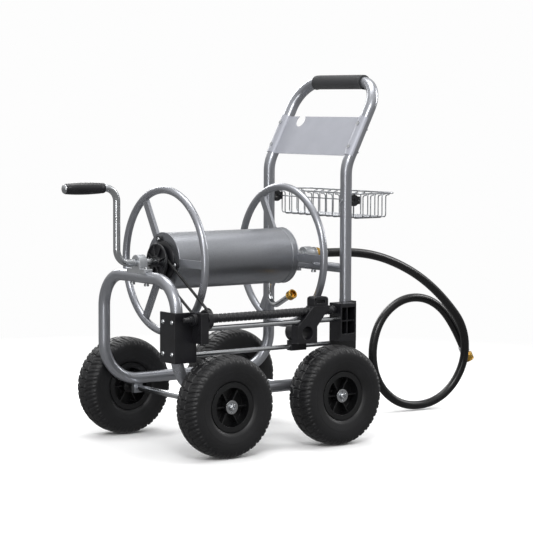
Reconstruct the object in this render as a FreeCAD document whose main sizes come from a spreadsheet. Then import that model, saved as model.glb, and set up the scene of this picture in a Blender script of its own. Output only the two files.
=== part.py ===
import FreeCAD, Part
import Sketcher
import math
import os
from FreeCAD import Placement, Rotation, Vector

# Garden hose reel cart: a bent-tube frame on four pneumatic wheels carries a cranked hose reel, a belt-driven
# lead screw that lays the hose, a wire basket and a tool panel. The cart stands on Z = 0; +X runs from the
# crank end to the handle end, +Y from the hose guide's side to the other, +Z up. Millimetres.

doc = FreeCAD.newDocument("HoseReelCart")
sheet = doc.addObject("Spreadsheet::Sheet", "Sizes")

SIZES = [
    # frame; every x is measured from the middle of the wheelbase
    ("frame_tube_d", 30, "outside diameter of the frame tube"),
    ("frame_wall", 2, "wall of the frame tube"),
    ("frame_half", 166, "half the distance between the side tubes' centrelines"),
    ("rail_height", 152, "centreline of the lower rails"),
    ("hoop_x", -270.5, "plane of the front hoop"),
    ("hoop_height", 432, "centreline of the hoop's top bar"),
    ("hoop_bend", 85, "bend radius of the hoop's shoulders"),
    ("front_bend", 100, "bend radius from leg to rail"),
    ("leg_joint", 300, "height where the hoop meets the side tubes"),
    ("upright_x", 253, "plane of the rear uprights"),
    ("rear_bend", 92, "bend radius from rail to upright"),
    ("lean_height", 705, "height where the uprights begin to lean back"),
    ("lean_angle", 27.5, "lean of the handle, degrees from upright"),
    ("lean_bend", 95, "bend radius into the lean"),
    ("bow_joint", 80, "length of lean on the side tube, up to the handle bow"),
    ("handle_height", 920, "centreline of the handle's top bar"),
    ("handle_bend", 78, "bend radius of the handle's corners"),
    ("foam_d", 38, "outside diameter of the foam grip"),
    ("foam_half", 101, "half length of the foam grip"),
    ("brace_d", 24, "diameter of the rear cross brace"),
    ("brace_height", 440, "centreline of the rear cross brace"),
    ("floor_brace_d", 20, "diameter of the low cross brace"),
    ("floor_brace_x", 25, "place of the low cross brace"),
    # axles and wheels
    ("axle_d", 16, "axle diameter"),
    ("axle_height", 127, "axle centre, which is the tyre's radius"),
    ("wheelbase_half", 171.25, "half the wheelbase"),
    ("track_half", 229.6, "wheel mid-plane from the cart's centre"),
    ("tyre_width", 84.5, "tyre width"),
    ("tyre_wall", 7, "tyre wall"),
    ("seat_r", 52, "radius of the rim's bead seat"),
    ("flange_r", 61.2, "radius of the rim flanges"),
    ("flange_out", 32.6, "outer face of the rim flange from mid-plane"),
    ("flange_t", 4, "thickness of the rim flange"),
    ("rim_wall", 3.5, "wall of the rim barrel"),
    ("hub_r", 17, "radius of the wheel hub"),
    ("hub_half", 27, "half length of the wheel hub"),
    ("web_t", 5, "thickness of the wheel's web"),
    ("rib_t", 3, "thickness of a wheel rib"),
    ("rib_count", 6, "ribs on each wheel"),
    ("rib_half", 20, "half depth of the wheel ribs"),
    ("washer_r", 17, "radius of the axle washers"),
    ("washer_t", 2.5, "thickness of the axle washers"),
    ("pin_d", 3, "cotter pin diameter"),
    ("axle_end", 8, "axle beyond the outer washer"),
    ("bracket_t", 12, "width of an axle bracket"),
    ("running_gap", 0.05, "radial clearance of turning fits"),
    ("side_gap", 0.5, "end clearance of turning parts"),
    # reel
    ("reel_height", 467.8, "height of the reel axis"),
    ("drum_r", 71.5, "outside radius of the drum"),
    ("drum_wall", 2, "drum sheet thickness"),
    ("drum_front", -199, "front face of the drum"),
    ("drum_seam", 156, "seam between shell and rear cap"),
    ("drum_back", 174, "rear face of the drum"),
    ("cap_t", 6, "thickness of the front cap"),
    ("ring_r", 179, "centreline radius of the reel rings"),
    ("ring_tube_r", 9.5, "radius of the ring tube"),
    ("front_ring_x", -195.5, "plane of the front ring"),
    ("rear_ring_x", 172.5, "plane of the rear ring"),
    ("spoke_width", 19, "width of a ring spoke"),
    ("spoke_t", 9, "thickness of a ring spoke"),
    ("crank_tube_d", 18, "crank tube diameter"),
    ("crank_arm_x", -337, "plane of the crank arm"),
    ("grip_height", 655, "height of the crank grip's axis"),
    ("crank_bend", 34, "bend radius of the crank tube"),
    ("grip_start", -374, "inner end of the crank grip"),
    ("grip_length", 111, "length of the crank grip"),
    ("grip_r", 15, "largest radius of the crank grip"),
    ("hub_disc_r", 46, "radius of the hub's front disc"),
    ("belt_r", 22, "radius of the hub's belt groove"),
    ("screw_pulley_r", 20, "radius of the screw pulley's groove"),
    ("belt_x", -212, "plane of the belt"),
    ("belt_w", 6, "belt width"),
    ("belt_t", 4, "belt thickness"),
    ("belt_gap", 0.3, "clearance between belt and pulley"),
    ("water_tube_r", 11, "radius of the water tube in the rear bearing"),
    ("pipe_d", 14, "outlet pipe diameter"),
    ("outlet_x", 133, "plane of the outlet pipe"),
    ("housing_r", 19.5, "radius of the bearing housings"),
    ("housing_l", 24, "length of the bearing housings"),
    ("block_half", 42, "half width of the bearing blocks' feet"),
    ("bolt_y", 32, "bolts of the bearing blocks from the middle"),
    ("bolt_d", 8, "bolt diameter"),
    # hose guide
    ("guide_y", -206, "lead screw's axis"),
    ("screw_height", 340.5, "height of the lead screw"),
    ("screw_r", 11.3, "radius over the lead screw's thread"),
    ("journal_r", 6.5, "radius of the lead screw's journals"),
    ("upper_rod_height", 316.5, "height of the upper guide rod"),
    ("upper_rod_r", 6.5, "radius of the upper guide rod"),
    ("lower_rod_y", -177, "lower guide rod"),
    ("lower_rod_height", 251.5, "height of the lower guide rod"),
    ("lower_rod_r", 5.8, "radius of the lower guide rod"),
    ("bracket_low", 233, "bottom of the guide brackets"),
    ("bracket_high", 357, "top of the guide brackets"),
    ("bracket_wall", 4, "wall of the guide brackets"),
    ("box_front", -242, "front face of the pulley box"),
    ("box_back", -219, "rear face of the pulley box"),
    ("cover_r", 27, "outside radius of the round pulley cover"),
    ("cover_l", 14, "length of the round pulley cover"),
    ("box_low", 282, "bottom of the pulley box"),
    ("rear_plate_x", 188, "front face of the rear guide bracket"),
    ("eye_x", 88, "hose eye at rest"),
    ("eye_height", 288, "centre of the hose eye"),
    ("eye_r", 17, "radius of the hose eye"),
    # inlet and leader hose
    ("hose_d", 23.5, "leader hose diameter"),
    ("swivel_x", 266, "front of the inlet swivel"),
    ("hose_start", 316, "where the leader hose leaves its ferrule"),
    # basket
    ("basket_front", 293, "front wall of the basket"),
    ("basket_back", 389, "rear wall of the basket"),
    ("basket_half", 174, "half length of the basket"),
    ("basket_low", 567, "basket floor"),
    ("basket_high", 632, "basket rim"),
    ("rim_lip", 14, "overhang of the basket rim"),
    ("wire_d", 3, "basket wire"),
    ("rim_wire_d", 4, "basket rim wire"),
    ("hanger_height", 615, "wire that hangs in the clips"),
    # tool panel
    ("panel_t", 1.5, "panel sheet"),
    ("panel_low", 25, "lower edge, along the lean"),
    ("panel_high", 136, "upper edge, along the lean"),
    ("panel_set", 5, "flat of the panel ahead of the tubes' centres"),
    ("slot_y", 94, "tool slot"),
    ("slot_r", 17.5, "radius of the tool slot"),
    ("slot_drop", 12.5, "centre of the tool slot below the top edge"),
]

for row, (alias, value, note) in enumerate(SIZES, start=1):
    sheet.set(f"A{row}", note)
    sheet.set(f"B{row}", str(value))
    sheet.setAlias(f"B{row}", alias)
doc.recompute()


def size(alias):
    """Value of a named size, read back from the sheet."""
    return float(sheet.get(alias))


AXIS_TURN = {
    "x": Rotation(Vector(0, 1, 0), 90),
    "y": Rotation(Vector(1, 0, 0), -90),
    "z": Rotation(),
}
sub_parts = []

# The origin is the middle of the cart's own box, without the leader hose, so everything shifts by this much.
grip_tip = size("grip_start") - size("grip_length") - 6
basket_tip = size("basket_back") + size("rim_lip") + size("rim_wire_d") / 2
SHIFT = Vector(-(grip_tip + basket_tip) / 2, 0, 0)


def finish(obj, label):
    """Give a sub-part its name and move it from wheelbase to cart coordinates."""
    obj.Label = label
    obj.Placement = Placement(SHIFT, Rotation()).multiply(obj.Placement)
    sub_parts.append(obj)
    return obj


def shape_part(label, shape):
    """Sub-part whose shape is worked out in code."""
    obj = doc.addObject("Part::Feature", "Shape_" + label)
    obj.Shape = shape
    return finish(obj, label)


def bound(obj, **expressions):
    for prop, expression in expressions.items():
        obj.setExpression(prop, expression)
    return obj


def rod(name, radius, length, axis, at):
    """Part::Cylinder bound to the sheet, lying along an axis and centred on a point."""
    obj = doc.addObject("Part::Cylinder", name)
    bound(obj, Radius=radius, Height=length)
    doc.recompute()
    turn = AXIS_TURN[axis]
    start = Vector(*at) - turn.multVec(Vector(0, 0, obj.Height.Value / 2))
    obj.Placement = Placement(start, turn)
    return obj


def block(name, corner, opposite):
    """Part::Box between two corners."""
    obj = doc.addObject("Part::Box", name)
    low = [min(a, b) for a, b in zip(corner, opposite)]
    high = [max(a, b) for a, b in zip(corner, opposite)]
    obj.Length, obj.Width, obj.Height = (h - l for l, h in zip(low, high))
    obj.Placement = Placement(Vector(*low), Rotation())
    return obj


def fuse(name, *parts):
    obj = doc.addObject("Part::MultiFuse", name)
    obj.Shapes = list(parts)
    obj.Refine = True
    return obj


def cut(name, base, *tools):
    obj = doc.addObject("Part::Cut", name)
    obj.Base = base
    obj.Tool = tools[0] if len(tools) == 1 else fuse(name + "_tools", *tools)
    return obj


def solid_rod(radius, length, axis, at):
    """Plain cylinder shape, centred on a point."""
    direction = AXIS_TURN[axis].multVec(Vector(0, 0, 1))
    return Part.makeCylinder(radius, length, Vector(*at) - direction * (length / 2), direction)


def solid_block(corner, opposite):
    low = Vector(*(min(a, b) for a, b in zip(corner, opposite)))
    high = Vector(*(max(a, b) for a, b in zip(corner, opposite)))
    return Part.makeBox(high.x - low.x, high.y - low.y, high.z - low.z, low)


def bent_path(points, bends):
    """Straight runs between the points, joined by tangent arcs; one bend radius for each inner point."""
    points = [Vector(*p) for p in points]
    edges, start = [], points[0]
    for before, corner, after, radius in zip(points, points[1:], points[2:], bends):
        way_in = (corner - before).normalize()
        way_out = (after - corner).normalize()
        half_turn = way_in.getAngle(way_out) / 2
        reach = radius * math.tan(half_turn)
        arc_start = corner - way_in * reach
        arc_end = corner + way_out * reach
        inward = (way_out - way_in).normalize()
        middle = corner + inward * (radius / math.cos(half_turn) - radius)
        edges.append(Part.LineSegment(start, arc_start).toShape())
        edges.append(Part.Arc(arc_start, middle, arc_end).toShape())
        start = arc_end
    edges.append(Part.LineSegment(start, points[-1]).toShape())
    return Part.Wire(edges)


def pipe(path, radius):
    """Round bar along a path."""
    first = path.Edges[0]
    start = first.valueAt(first.FirstParameter)
    circle = Part.Circle(start, first.tangentAt(first.FirstParameter), radius)
    return path.makePipeShell([Part.Wire(circle.toShape())], True, False)


def tube(path, radius, wall):
    """Hollow round tube along a path, open at both ends."""
    return pipe(path, radius).cut(pipe(path, radius - wall))


def origin_plane(body, role):
    return [f for f in body.Origin.OriginFeatures if f.Role == role][0]


def outline(body, name, plane, points):
    """Closed sketch outline whose corners are pinned to the sheet by expressions."""
    sketch = body.newObject("Sketcher::SketchObject", name)
    sketch.AttachmentSupport = (origin_plane(body, plane), [""])
    sketch.MapMode = "FlatFace"
    count = len(points)
    spread = [Vector(100 * math.cos(2 * math.pi * i / count), 100 * math.sin(2 * math.pi * i / count), 0)
              for i in range(count)]
    for i in range(count):
        sketch.addGeometry(Part.LineSegment(spread[i], spread[(i + 1) % count]))
    for i in range(count):
        sketch.addConstraint(Sketcher.Constraint("Coincident", i, 2, (i + 1) % count, 1))
    for i, (across, along) in enumerate(points):
        for kind, expression, start in (("DistanceX", across, spread[i].x),
                                        ("DistanceY", along, spread[i].y)):
            index = sketch.addConstraint(Sketcher.Constraint(kind, -1, 1, i, 1, start))
            sketch.setExpression(f"Constraints[{index}]", str(expression))
    return sketch


def turned(label, axis, points):
    """PartDesign body turned about X or Y; points are (radius, place along the axis) expressions."""
    body = doc.addObject("PartDesign::Body", "Body_" + label)
    if axis == "x":
        corners = [(along, radius) for radius, along in points]
    else:
        corners = points
    sketch = outline(body, "Profile_" + label, "XY_Plane", corners)
    turn = body.newObject("PartDesign::Revolution", "Turn_" + label)
    turn.Profile = sketch
    turn.ReferenceAxis = (sketch, ["H_Axis" if axis == "x" else "V_Axis"])
    turn.Angle = 360
    sketch.Visibility = False
    doc.recompute()
    return body


def placed(obj, x, y, z):
    obj.Placement = Placement(Vector(x, y, z), obj.Placement.Rotation)
    return obj


# ---------------------------------------------------------------- frame
half = size("frame_half")
tube_r = size("frame_tube_d") / 2
hoop_x = size("hoop_x")
hoop_z = size("hoop_height")
rail_z = size("rail_height")
upright_x = size("upright_x")
lean_z = size("lean_height")
lean = math.radians(size("lean_angle"))
lean_way = Vector(math.sin(lean), 0, math.cos(lean))
lean_out = Vector(-math.cos(lean), 0, math.sin(lean))


def on_lean(along, y, out=0.0):
    """Point a given length up the lean, and that far ahead of the tube's centreline."""
    return Vector(upright_x, y, lean_z) + lean_way * along + lean_out * out


bow_start = size("bow_joint")
handle_along = (size("handle_height") - lean_z) / math.cos(lean)
hoop_path = bent_path(
    [(hoop_x, -half, size("leg_joint")), (hoop_x, -half, hoop_z), (hoop_x, half, hoop_z),
     (hoop_x, half, size("leg_joint"))], [size("hoop_bend")] * 2)
bow_path = bent_path(
    [on_lean(bow_start, -half), on_lean(handle_along, -half), on_lean(handle_along, half),
     on_lean(bow_start, half)], [size("handle_bend")] * 2)


def through_bolt(x, y, z):
    """Bolt through a tube along X, its head against the front."""
    head = solid_rod(5.5, 3.5, "x", (x - tube_r - 1.5, y, z))
    return solid_rod(3, 2 * tube_r + 6, "x", (x + 1, y, z)).fuse(head).removeSplitter()


def bearing_shanks(x, bar_z):
    """The two holes for a bearing block's bolts."""
    places = [(x, side * size("bolt_y"), bar_z) for side in (-1, 1)]
    return [solid_rod(size("bolt_d") / 2, 4 * tube_r, "z", place) for place in places]


# bolts through the tubes: one at each basket clip, two pairs up the lean for the panel
clip_z = size("hanger_height")
PANEL_BOLTS = (47, 113)
clip_bolts = [through_bolt(upright_x, side * half, clip_z) for side in (-1, 1)]
panel_bolts = []
for side in (-1, 1):
    for along in PANEL_BOLTS:
        bolt = through_bolt(0, side * half, 0)
        bolt.rotate(Vector(0, 0, 0), Vector(0, 1, 0), size("lean_angle"))
        bolt.translate(on_lean(along, 0))
        panel_bolts.append(bolt)
tube_bolts = clip_bolts + panel_bolts

shape_part("front_hoop", tube(hoop_path, tube_r, size("frame_wall")).cut(bearing_shanks(hoop_x, hoop_z)))
side_pipes = {}
for label, side in (("side_tube_left", -1), ("side_tube_right", 1)):
    side_path = bent_path(
        [(hoop_x, side * half, size("leg_joint")), (hoop_x, side * half, rail_z),
         (upright_x, side * half, rail_z), (upright_x, side * half, lean_z), on_lean(bow_start, side * half)],
        [size("front_bend"), size("rear_bend"), size("lean_bend")])
    side_pipes[side] = pipe(side_path, tube_r)
    shape_part(label, tube(side_path, tube_r, size("frame_wall")).cut(tube_bolts))
shape_part("handle_bow", tube(bow_path, tube_r, size("frame_wall")).cut(tube_bolts))

foam = pipe(bow_path, size("foam_d") / 2).cut(pipe(bow_path, tube_r))
foam_half = size("foam_half")
foam_reach = size("foam_d")
handle_mid = on_lean(handle_along, 0)
foam = foam.common(solid_block((handle_mid.x - foam_reach, -foam_half, handle_mid.z - foam_reach),
                               (handle_mid.x + foam_reach, foam_half, handle_mid.z + foam_reach)))
shape_part("foam_grip", foam)


def cross_brace(label, radius, x, z, runner_axis, holes):
    """Round bar between the side tubes, its ends coped to their curve, with holes for bolts."""
    bar = solid_rod(radius, 2 * half, "y", (x, 0, z)).cut(holes)
    for side in (-1, 1):
        bar = bar.cut(solid_rod(tube_r, 4 * tube_r + 2 * radius, runner_axis, (x, side * half, z)))
    middle = min(bar.Solids, key=lambda solid: abs(solid.CenterOfMass.y))
    shape_part(label, middle)


brace_z = size("brace_height")
cross_brace("rear_cross_brace", size("brace_d") / 2, upright_x, brace_z, "z",
            bearing_shanks(upright_x, brace_z))
cross_brace("floor_cross_brace", size("floor_brace_d") / 2, size("floor_brace_x"), rail_z, "x", [])

# ---------------------------------------------------------------- axles
axle_r = size("axle_d") / 2
axle_z = size("axle_height")
track = size("track_half")
hub_end = track + size("hub_half")
washer_in = hub_end + size("side_gap")
axle_tip = washer_in + size("washer_t") + size("axle_end")
pin_y = washer_in + size("washer_t") + size("pin_d") / 2 + 0.3
bracket_t = size("bracket_t")
bore_gap = size("running_gap")
axle_places = (("front", -size("wheelbase_half")), ("rear", size("wheelbase_half")))
brackets, sleeves, washers, pins = [], [], [], []
for name, x in axle_places:
    axle = rod("Rod_" + name, "Sizes.axle_d / 2",
               "2 * (Sizes.track_half + Sizes.hub_half + Sizes.side_gap + Sizes.washer_t + Sizes.axle_end)",
               "y", (x, 0, axle_z))
    holes = [rod(f"PinHole_{name}_{side}", "Sizes.pin_d / 2 + Sizes.running_gap", "2 * Sizes.axle_d", "z",
                 (x, side * pin_y, axle_z)) for side in (-1, 1)]
    finish(cut("Axle_" + name, axle, *holes), name + "_axle")
    for side in (-1, 1):
        ear = solid_block((x - 1.6 * axle_r, side * half - bracket_t / 2, axle_z - 1.6 * axle_r),
                          (x + 1.6 * axle_r, side * half + bracket_t / 2, rail_z))
        ear = ear.cut(solid_rod(axle_r + bore_gap, 2 * bracket_t, "y", (x, side * half, axle_z)))
        brackets.append(ear.cut(solid_rod(tube_r, 8 * axle_r, "x", (x, side * half, rail_z))))
        inner = half + bracket_t / 2
        sleeve_end = track - size("hub_half") - size("side_gap")
        middle = (inner + sleeve_end) / 2
        sleeve = solid_rod(axle_r + 2.5, sleeve_end - inner, "y", (x, side * middle, axle_z))
        sleeves.append(sleeve.cut(solid_rod(axle_r + bore_gap, sleeve_end, "y", (x, side * middle, axle_z))))
        washer_mid = washer_in + size("washer_t") / 2
        washer = solid_rod(size("washer_r"), size("washer_t"), "y", (x, side * washer_mid, axle_z))
        washers.append(washer.cut(solid_rod(axle_r + bore_gap, 9, "y", (x, side * washer_mid, axle_z))))
        pins.append(solid_rod(size("pin_d") / 2, 3.4 * axle_r, "z", (x, side * pin_y, axle_z)))
for label, pieces in (("axle_brackets", brackets), ("axle_sleeves", sleeves), ("axle_washers", washers),
                      ("cotter_pins", pins)):
    shape_part(label, Part.makeCompound(pieces))

# ---------------------------------------------------------------- wheels
TYRE_OUTLINE = [
    ("Sizes.seat_r + 0.3", "0 - Sizes.flange_out + Sizes.flange_t + 0.3"),
    ("Sizes.flange_r + 0.6", "0 - Sizes.flange_out + Sizes.flange_t + 0.3"),
    ("Sizes.flange_r + 2", "0 - Sizes.flange_out - 1"),
    ("Sizes.flange_r + 18", "0 - Sizes.tyre_width / 2 + 2.5"),
    ("Sizes.flange_r + 36", "0 - Sizes.tyre_width / 2"),
    ("Sizes.axle_height - 12", "0 - Sizes.tyre_width / 2 + 3"),
    ("Sizes.axle_height - 4", "0 - Sizes.tyre_width / 2 + 11"),
    ("Sizes.axle_height", "0 - Sizes.tyre_width / 2 + 26"),
    ("Sizes.axle_height", "Sizes.tyre_width / 2 - 26"),
    ("Sizes.axle_height - 4", "Sizes.tyre_width / 2 - 11"),
    ("Sizes.axle_height - 12", "Sizes.tyre_width / 2 - 3"),
    ("Sizes.flange_r + 36", "Sizes.tyre_width / 2"),
    ("Sizes.flange_r + 18", "Sizes.tyre_width / 2 - 2.5"),
    ("Sizes.flange_r + 2", "Sizes.flange_out + 1"),
    ("Sizes.flange_r + 0.6", "Sizes.flange_out - Sizes.flange_t - 0.3"),
    ("Sizes.seat_r + 0.3", "Sizes.flange_out - Sizes.flange_t - 0.3"),
    ("Sizes.seat_r + 0.3", "Sizes.flange_out - Sizes.flange_t - Sizes.tyre_wall"),
    ("Sizes.flange_r + 6", "Sizes.flange_out - Sizes.flange_t - Sizes.tyre_wall"),
    ("Sizes.flange_r + 20", "Sizes.tyre_width / 2 - Sizes.tyre_wall - 2.5"),
    ("Sizes.axle_height - 16", "Sizes.tyre_width / 2 - Sizes.tyre_wall - 5"),
    ("Sizes.axle_height - Sizes.tyre_wall - 1", "Sizes.tyre_width / 2 - 26"),
    ("Sizes.axle_height - Sizes.tyre_wall - 1", "0 - Sizes.tyre_width / 2 + 26"),
    ("Sizes.axle_height - 16", "0 - Sizes.tyre_width / 2 + Sizes.tyre_wall + 5"),
    ("Sizes.flange_r + 20", "0 - Sizes.tyre_width / 2 + Sizes.tyre_wall + 2.5"),
    ("Sizes.flange_r + 6", "0 - Sizes.flange_out + Sizes.flange_t + Sizes.tyre_wall"),
    ("Sizes.seat_r + 0.3", "0 - Sizes.flange_out + Sizes.flange_t + Sizes.tyre_wall"),
]
RIM_OUTLINE = [
    ("Sizes.axle_d / 2 + Sizes.running_gap", "0 - Sizes.hub_half"),
    ("Sizes.hub_r", "0 - Sizes.hub_half"),
    ("Sizes.hub_r", "0 - Sizes.web_t / 2"),
    ("Sizes.seat_r - Sizes.rim_wall", "0 - Sizes.web_t / 2"),
    ("Sizes.seat_r - Sizes.rim_wall", "0 - Sizes.flange_out"),
    ("Sizes.flange_r", "0 - Sizes.flange_out"),
    ("Sizes.flange_r", "0 - Sizes.flange_out + Sizes.flange_t"),
    ("Sizes.seat_r", "0 - Sizes.flange_out + Sizes.flange_t"),
    ("Sizes.seat_r", "Sizes.flange_out - Sizes.flange_t"),
    ("Sizes.flange_r", "Sizes.flange_out - Sizes.flange_t"),
    ("Sizes.flange_r", "Sizes.flange_out"),
    ("Sizes.seat_r - Sizes.rim_wall", "Sizes.flange_out"),
    ("Sizes.seat_r - Sizes.rim_wall", "Sizes.web_t / 2"),
    ("Sizes.hub_r", "Sizes.web_t / 2"),
    ("Sizes.hub_r", "Sizes.hub_half"),
    ("Sizes.axle_d / 2 + Sizes.running_gap", "Sizes.hub_half"),
]


def make_rim(label):
    """Moulded rim: turned section with ribs from hub to barrel on both sides of the web."""
    body = turned(label, "y", RIM_OUTLINE)
    ribs = outline(body, "Rib_" + label, "XY_Plane", [
        ("Sizes.hub_r - 1", "0 - Sizes.rib_half"),
        ("Sizes.seat_r - Sizes.rim_wall + 1", "0 - Sizes.rib_half"),
        ("Sizes.seat_r - Sizes.rim_wall + 1", "Sizes.rib_half"),
        ("Sizes.hub_r - 1", "Sizes.rib_half")])
    rib = body.newObject("PartDesign::Pad", "RibPad_" + label)
    rib.Profile = ribs
    rib.Midplane = True
    bound(rib, Length="Sizes.rib_t")
    doc.recompute()
    pattern = body.newObject("PartDesign::PolarPattern", "Ribs_" + label)
    pattern.Originals = [rib]
    pattern.Axis = (ribs, ["V_Axis"])
    pattern.Angle = 360
    bound(pattern, Occurrences="Sizes.rib_count")
    body.Tip = pattern
    ribs.Visibility = False
    doc.recompute()
    return body


wheel_names = []
for end, x in axle_places:
    for hand, side in (("left", -1), ("right", 1)):
        wheel = f"{end}_{hand}"
        wheel_names.append(wheel)
        finish(placed(turned("tyre_" + wheel, "y", TYRE_OUTLINE), x, side * track, axle_z), "tyre_" + wheel)
        finish(placed(make_rim("rim_" + wheel), x, side * track, axle_z), "rim_" + wheel)

# ---------------------------------------------------------------- reel
axis_z = size("reel_height")
crank_r = size("crank_tube_d") / 2
drum_front = size("drum_front")
belt_x = size("belt_x")

shell = placed(turned("drum_shell", "x", [
    ("Sizes.drum_r", "Sizes.drum_front + Sizes.cap_t"), ("Sizes.drum_r", "Sizes.drum_seam"),
    ("Sizes.drum_r - Sizes.drum_wall", "Sizes.drum_seam"),
    ("Sizes.drum_r - Sizes.drum_wall", "Sizes.drum_front + Sizes.cap_t")]), 0, 0, axis_z)
pipe_hole = rod("PipeHole", "Sizes.pipe_d / 2 + 0.5", "Sizes.drum_r", "z",
                (size("outlet_x"), 0, axis_z - size("drum_r")))
finish(cut("DrumShell", shell, pipe_hole), "drum_shell")

finish(placed(turned("drum_cap_front", "x", [
    ("Sizes.crank_tube_d / 2", "Sizes.drum_front"), ("Sizes.drum_r", "Sizes.drum_front"),
    ("Sizes.drum_r", "Sizes.drum_front + Sizes.cap_t"),
    ("Sizes.crank_tube_d / 2", "Sizes.drum_front + Sizes.cap_t")]), 0, 0, axis_z), "drum_cap_front")
finish(placed(turned("drum_cap_rear", "x", [
    ("Sizes.water_tube_r", "Sizes.drum_back - Sizes.drum_wall"),
    ("Sizes.drum_r - Sizes.drum_wall", "Sizes.drum_back - Sizes.drum_wall"),
    ("Sizes.drum_r - Sizes.drum_wall", "Sizes.drum_seam"), ("Sizes.drum_r", "Sizes.drum_seam"),
    ("Sizes.drum_r", "Sizes.drum_back"), ("Sizes.water_tube_r", "Sizes.drum_back")]), 0, 0, axis_z),
    "drum_cap_rear")

SPOKE_ANGLES = (180, 60, -60)
for end, ring_x in (("front", size("front_ring_x")), ("rear", size("rear_ring_x"))):
    ring = doc.addObject("Part::Torus", "Ring_" + end)
    bound(ring, Radius1="Sizes.ring_r", Radius2="Sizes.ring_tube_r")
    ring.Placement = Placement(Vector(ring_x, 0, axis_z), AXIS_TURN["x"])
    doc.recompute()
    spokes = []
    for angle in SPOKE_ANGLES:
        bar = solid_block((ring_x - size("spoke_t") / 2, 0, -size("spoke_width") / 2),
                          (ring_x + size("spoke_t") / 2, size("ring_r"), size("spoke_width") / 2))
        bar.rotate(Vector(0, 0, 0), Vector(1, 0, 0), angle)
        bar.translate(Vector(0, 0, axis_z))
        bar = bar.cut(solid_rod(size("drum_r"), 60, "x", (ring_x, 0, axis_z)))
        spokes.append(max(bar.cut(ring.Shape).Solids, key=lambda solid: solid.Volume))
    finish(ring, "reel_ring_" + end)
    shape_part("ring_spokes_" + end, Part.makeCompound(spokes))

hub = turned("hub_pulley", "x", [
    ("Sizes.crank_tube_d / 2", "Sizes.belt_x - 13"), ("Sizes.crank_tube_d / 2 + 5", "Sizes.belt_x - 13"),
    ("Sizes.crank_tube_d / 2 + 7", "Sizes.belt_x - 10"), ("Sizes.hub_disc_r - 6", "Sizes.belt_x - 8"),
    ("Sizes.hub_disc_r", "Sizes.belt_x - 7"), ("Sizes.hub_disc_r", "Sizes.belt_x - Sizes.belt_w / 2 - 1"),
    ("Sizes.belt_r", "Sizes.belt_x - Sizes.belt_w / 2 - 0.5"),
    ("Sizes.belt_r", "Sizes.belt_x + Sizes.belt_w / 2 + 0.5"),
    ("Sizes.hub_disc_r - 8", "Sizes.belt_x + Sizes.belt_w / 2 + 1"),
    ("Sizes.hub_disc_r + 6", "Sizes.drum_front - 3"), ("Sizes.hub_disc_r + 6", "Sizes.drum_front"),
    ("Sizes.crank_tube_d / 2", "Sizes.drum_front")])
finish(placed(hub, 0, 0, axis_z), "hub_pulley")

crank_path = bent_path(
    [(drum_front + size("cap_t"), 0, axis_z), (size("crank_arm_x"), 0, axis_z),
     (size("crank_arm_x"), 0, size("grip_height")),
     (size("grip_start") - size("grip_length") - 0.5, 0, size("grip_height"))],
    [size("crank_bend")] * 2)
shape_part("crank_arm", pipe(crank_path, crank_r))
finish(placed(turned("crank_grip", "x", [
    ("Sizes.crank_tube_d / 2 + Sizes.running_gap", "Sizes.grip_start"),
    ("Sizes.grip_r - 2.5", "Sizes.grip_start"),
    ("Sizes.grip_r - 1.5", "Sizes.grip_start - 12"),
    ("Sizes.grip_r", "Sizes.grip_start - Sizes.grip_length / 2"),
    ("Sizes.grip_r - 1", "Sizes.grip_start - Sizes.grip_length + 18"),
    ("Sizes.grip_r - 3", "Sizes.grip_start - Sizes.grip_length"),
    ("Sizes.crank_tube_d / 2 + Sizes.running_gap", "Sizes.grip_start - Sizes.grip_length")]),
    0, 0, size("grip_height")), "crank_grip")
finish(placed(turned("grip_end_cap", "x", [
    ("0", "Sizes.grip_start - Sizes.grip_length - 0.5"), ("0", "Sizes.grip_start - Sizes.grip_length - 6"),
    ("7", "Sizes.grip_start - Sizes.grip_length - 4.5"),
    ("11.5", "Sizes.grip_start - Sizes.grip_length - 0.5")]), 0, 0, size("grip_height")), "grip_end_cap")

# ---------------------------------------------------------------- bearings and water path
housing_l = size("housing_l")


def bearing_block(label, x, bar_z, bar_r, bore_r):
    """Housing with a foot that saddles the tube below it; two bolts pass through the foot and the tube."""
    housing = solid_rod(size("housing_r"), housing_l, "x", (x, 0, axis_z))
    foot = solid_block((x - housing_l / 2, -size("block_half"), bar_z + bar_r / 2),
                       (x + housing_l / 2, size("block_half"), bar_z + bar_r + 6))
    neck = solid_block((x - housing_l / 2, -size("housing_r"), bar_z + bar_r / 2),
                       (x + housing_l / 2, size("housing_r"), axis_z))
    body = housing.fuse([foot, neck]).removeSplitter()
    body = body.cut(solid_rod(bore_r + bore_gap, 2 * housing_l, "x", (x, 0, axis_z)))
    body = body.cut(solid_rod(bar_r, 4 * size("block_half"), "y", (x, 0, bar_z)))
    for side in (-1, 1):
        body = body.cut(solid_rod(size("bolt_d") / 2, 60, "z", (x, side * size("bolt_y"), bar_z + bar_r)))
    shape_part(label, body)


BEARINGS = (("front_bearing_block", hoop_x, hoop_z, tube_r, crank_r),
            ("rear_bearing_block", upright_x, brace_z, size("brace_d") / 2, size("water_tube_r")))
bearing_bolts = []
for label, x, bar_z, bar_r, bore_r in BEARINGS:
    bearing_block(label, x, bar_z, bar_r, bore_r)
    top = bar_z + bar_r + 6
    bottom = bar_z - bar_r - 4
    for side in (-1, 1):
        y = side * size("bolt_y")
        shank = Part.makeCylinder(size("bolt_d") / 2, top - bottom, Vector(x, y, bottom))
        head = Part.makeCylinder(6.5, 5, Vector(x, y, top))
        nut = Part.makeCylinder(6.5, 6, Vector(x, y, bar_z - bar_r - 6.5))
        bearing_bolts.append(shank.fuse([head, nut.cut(solid_rod(bar_r, 60, "y", (x, 0, bar_z)))]))
shape_part("bearing_bolts", Part.makeCompound(bearing_bolts))

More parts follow.
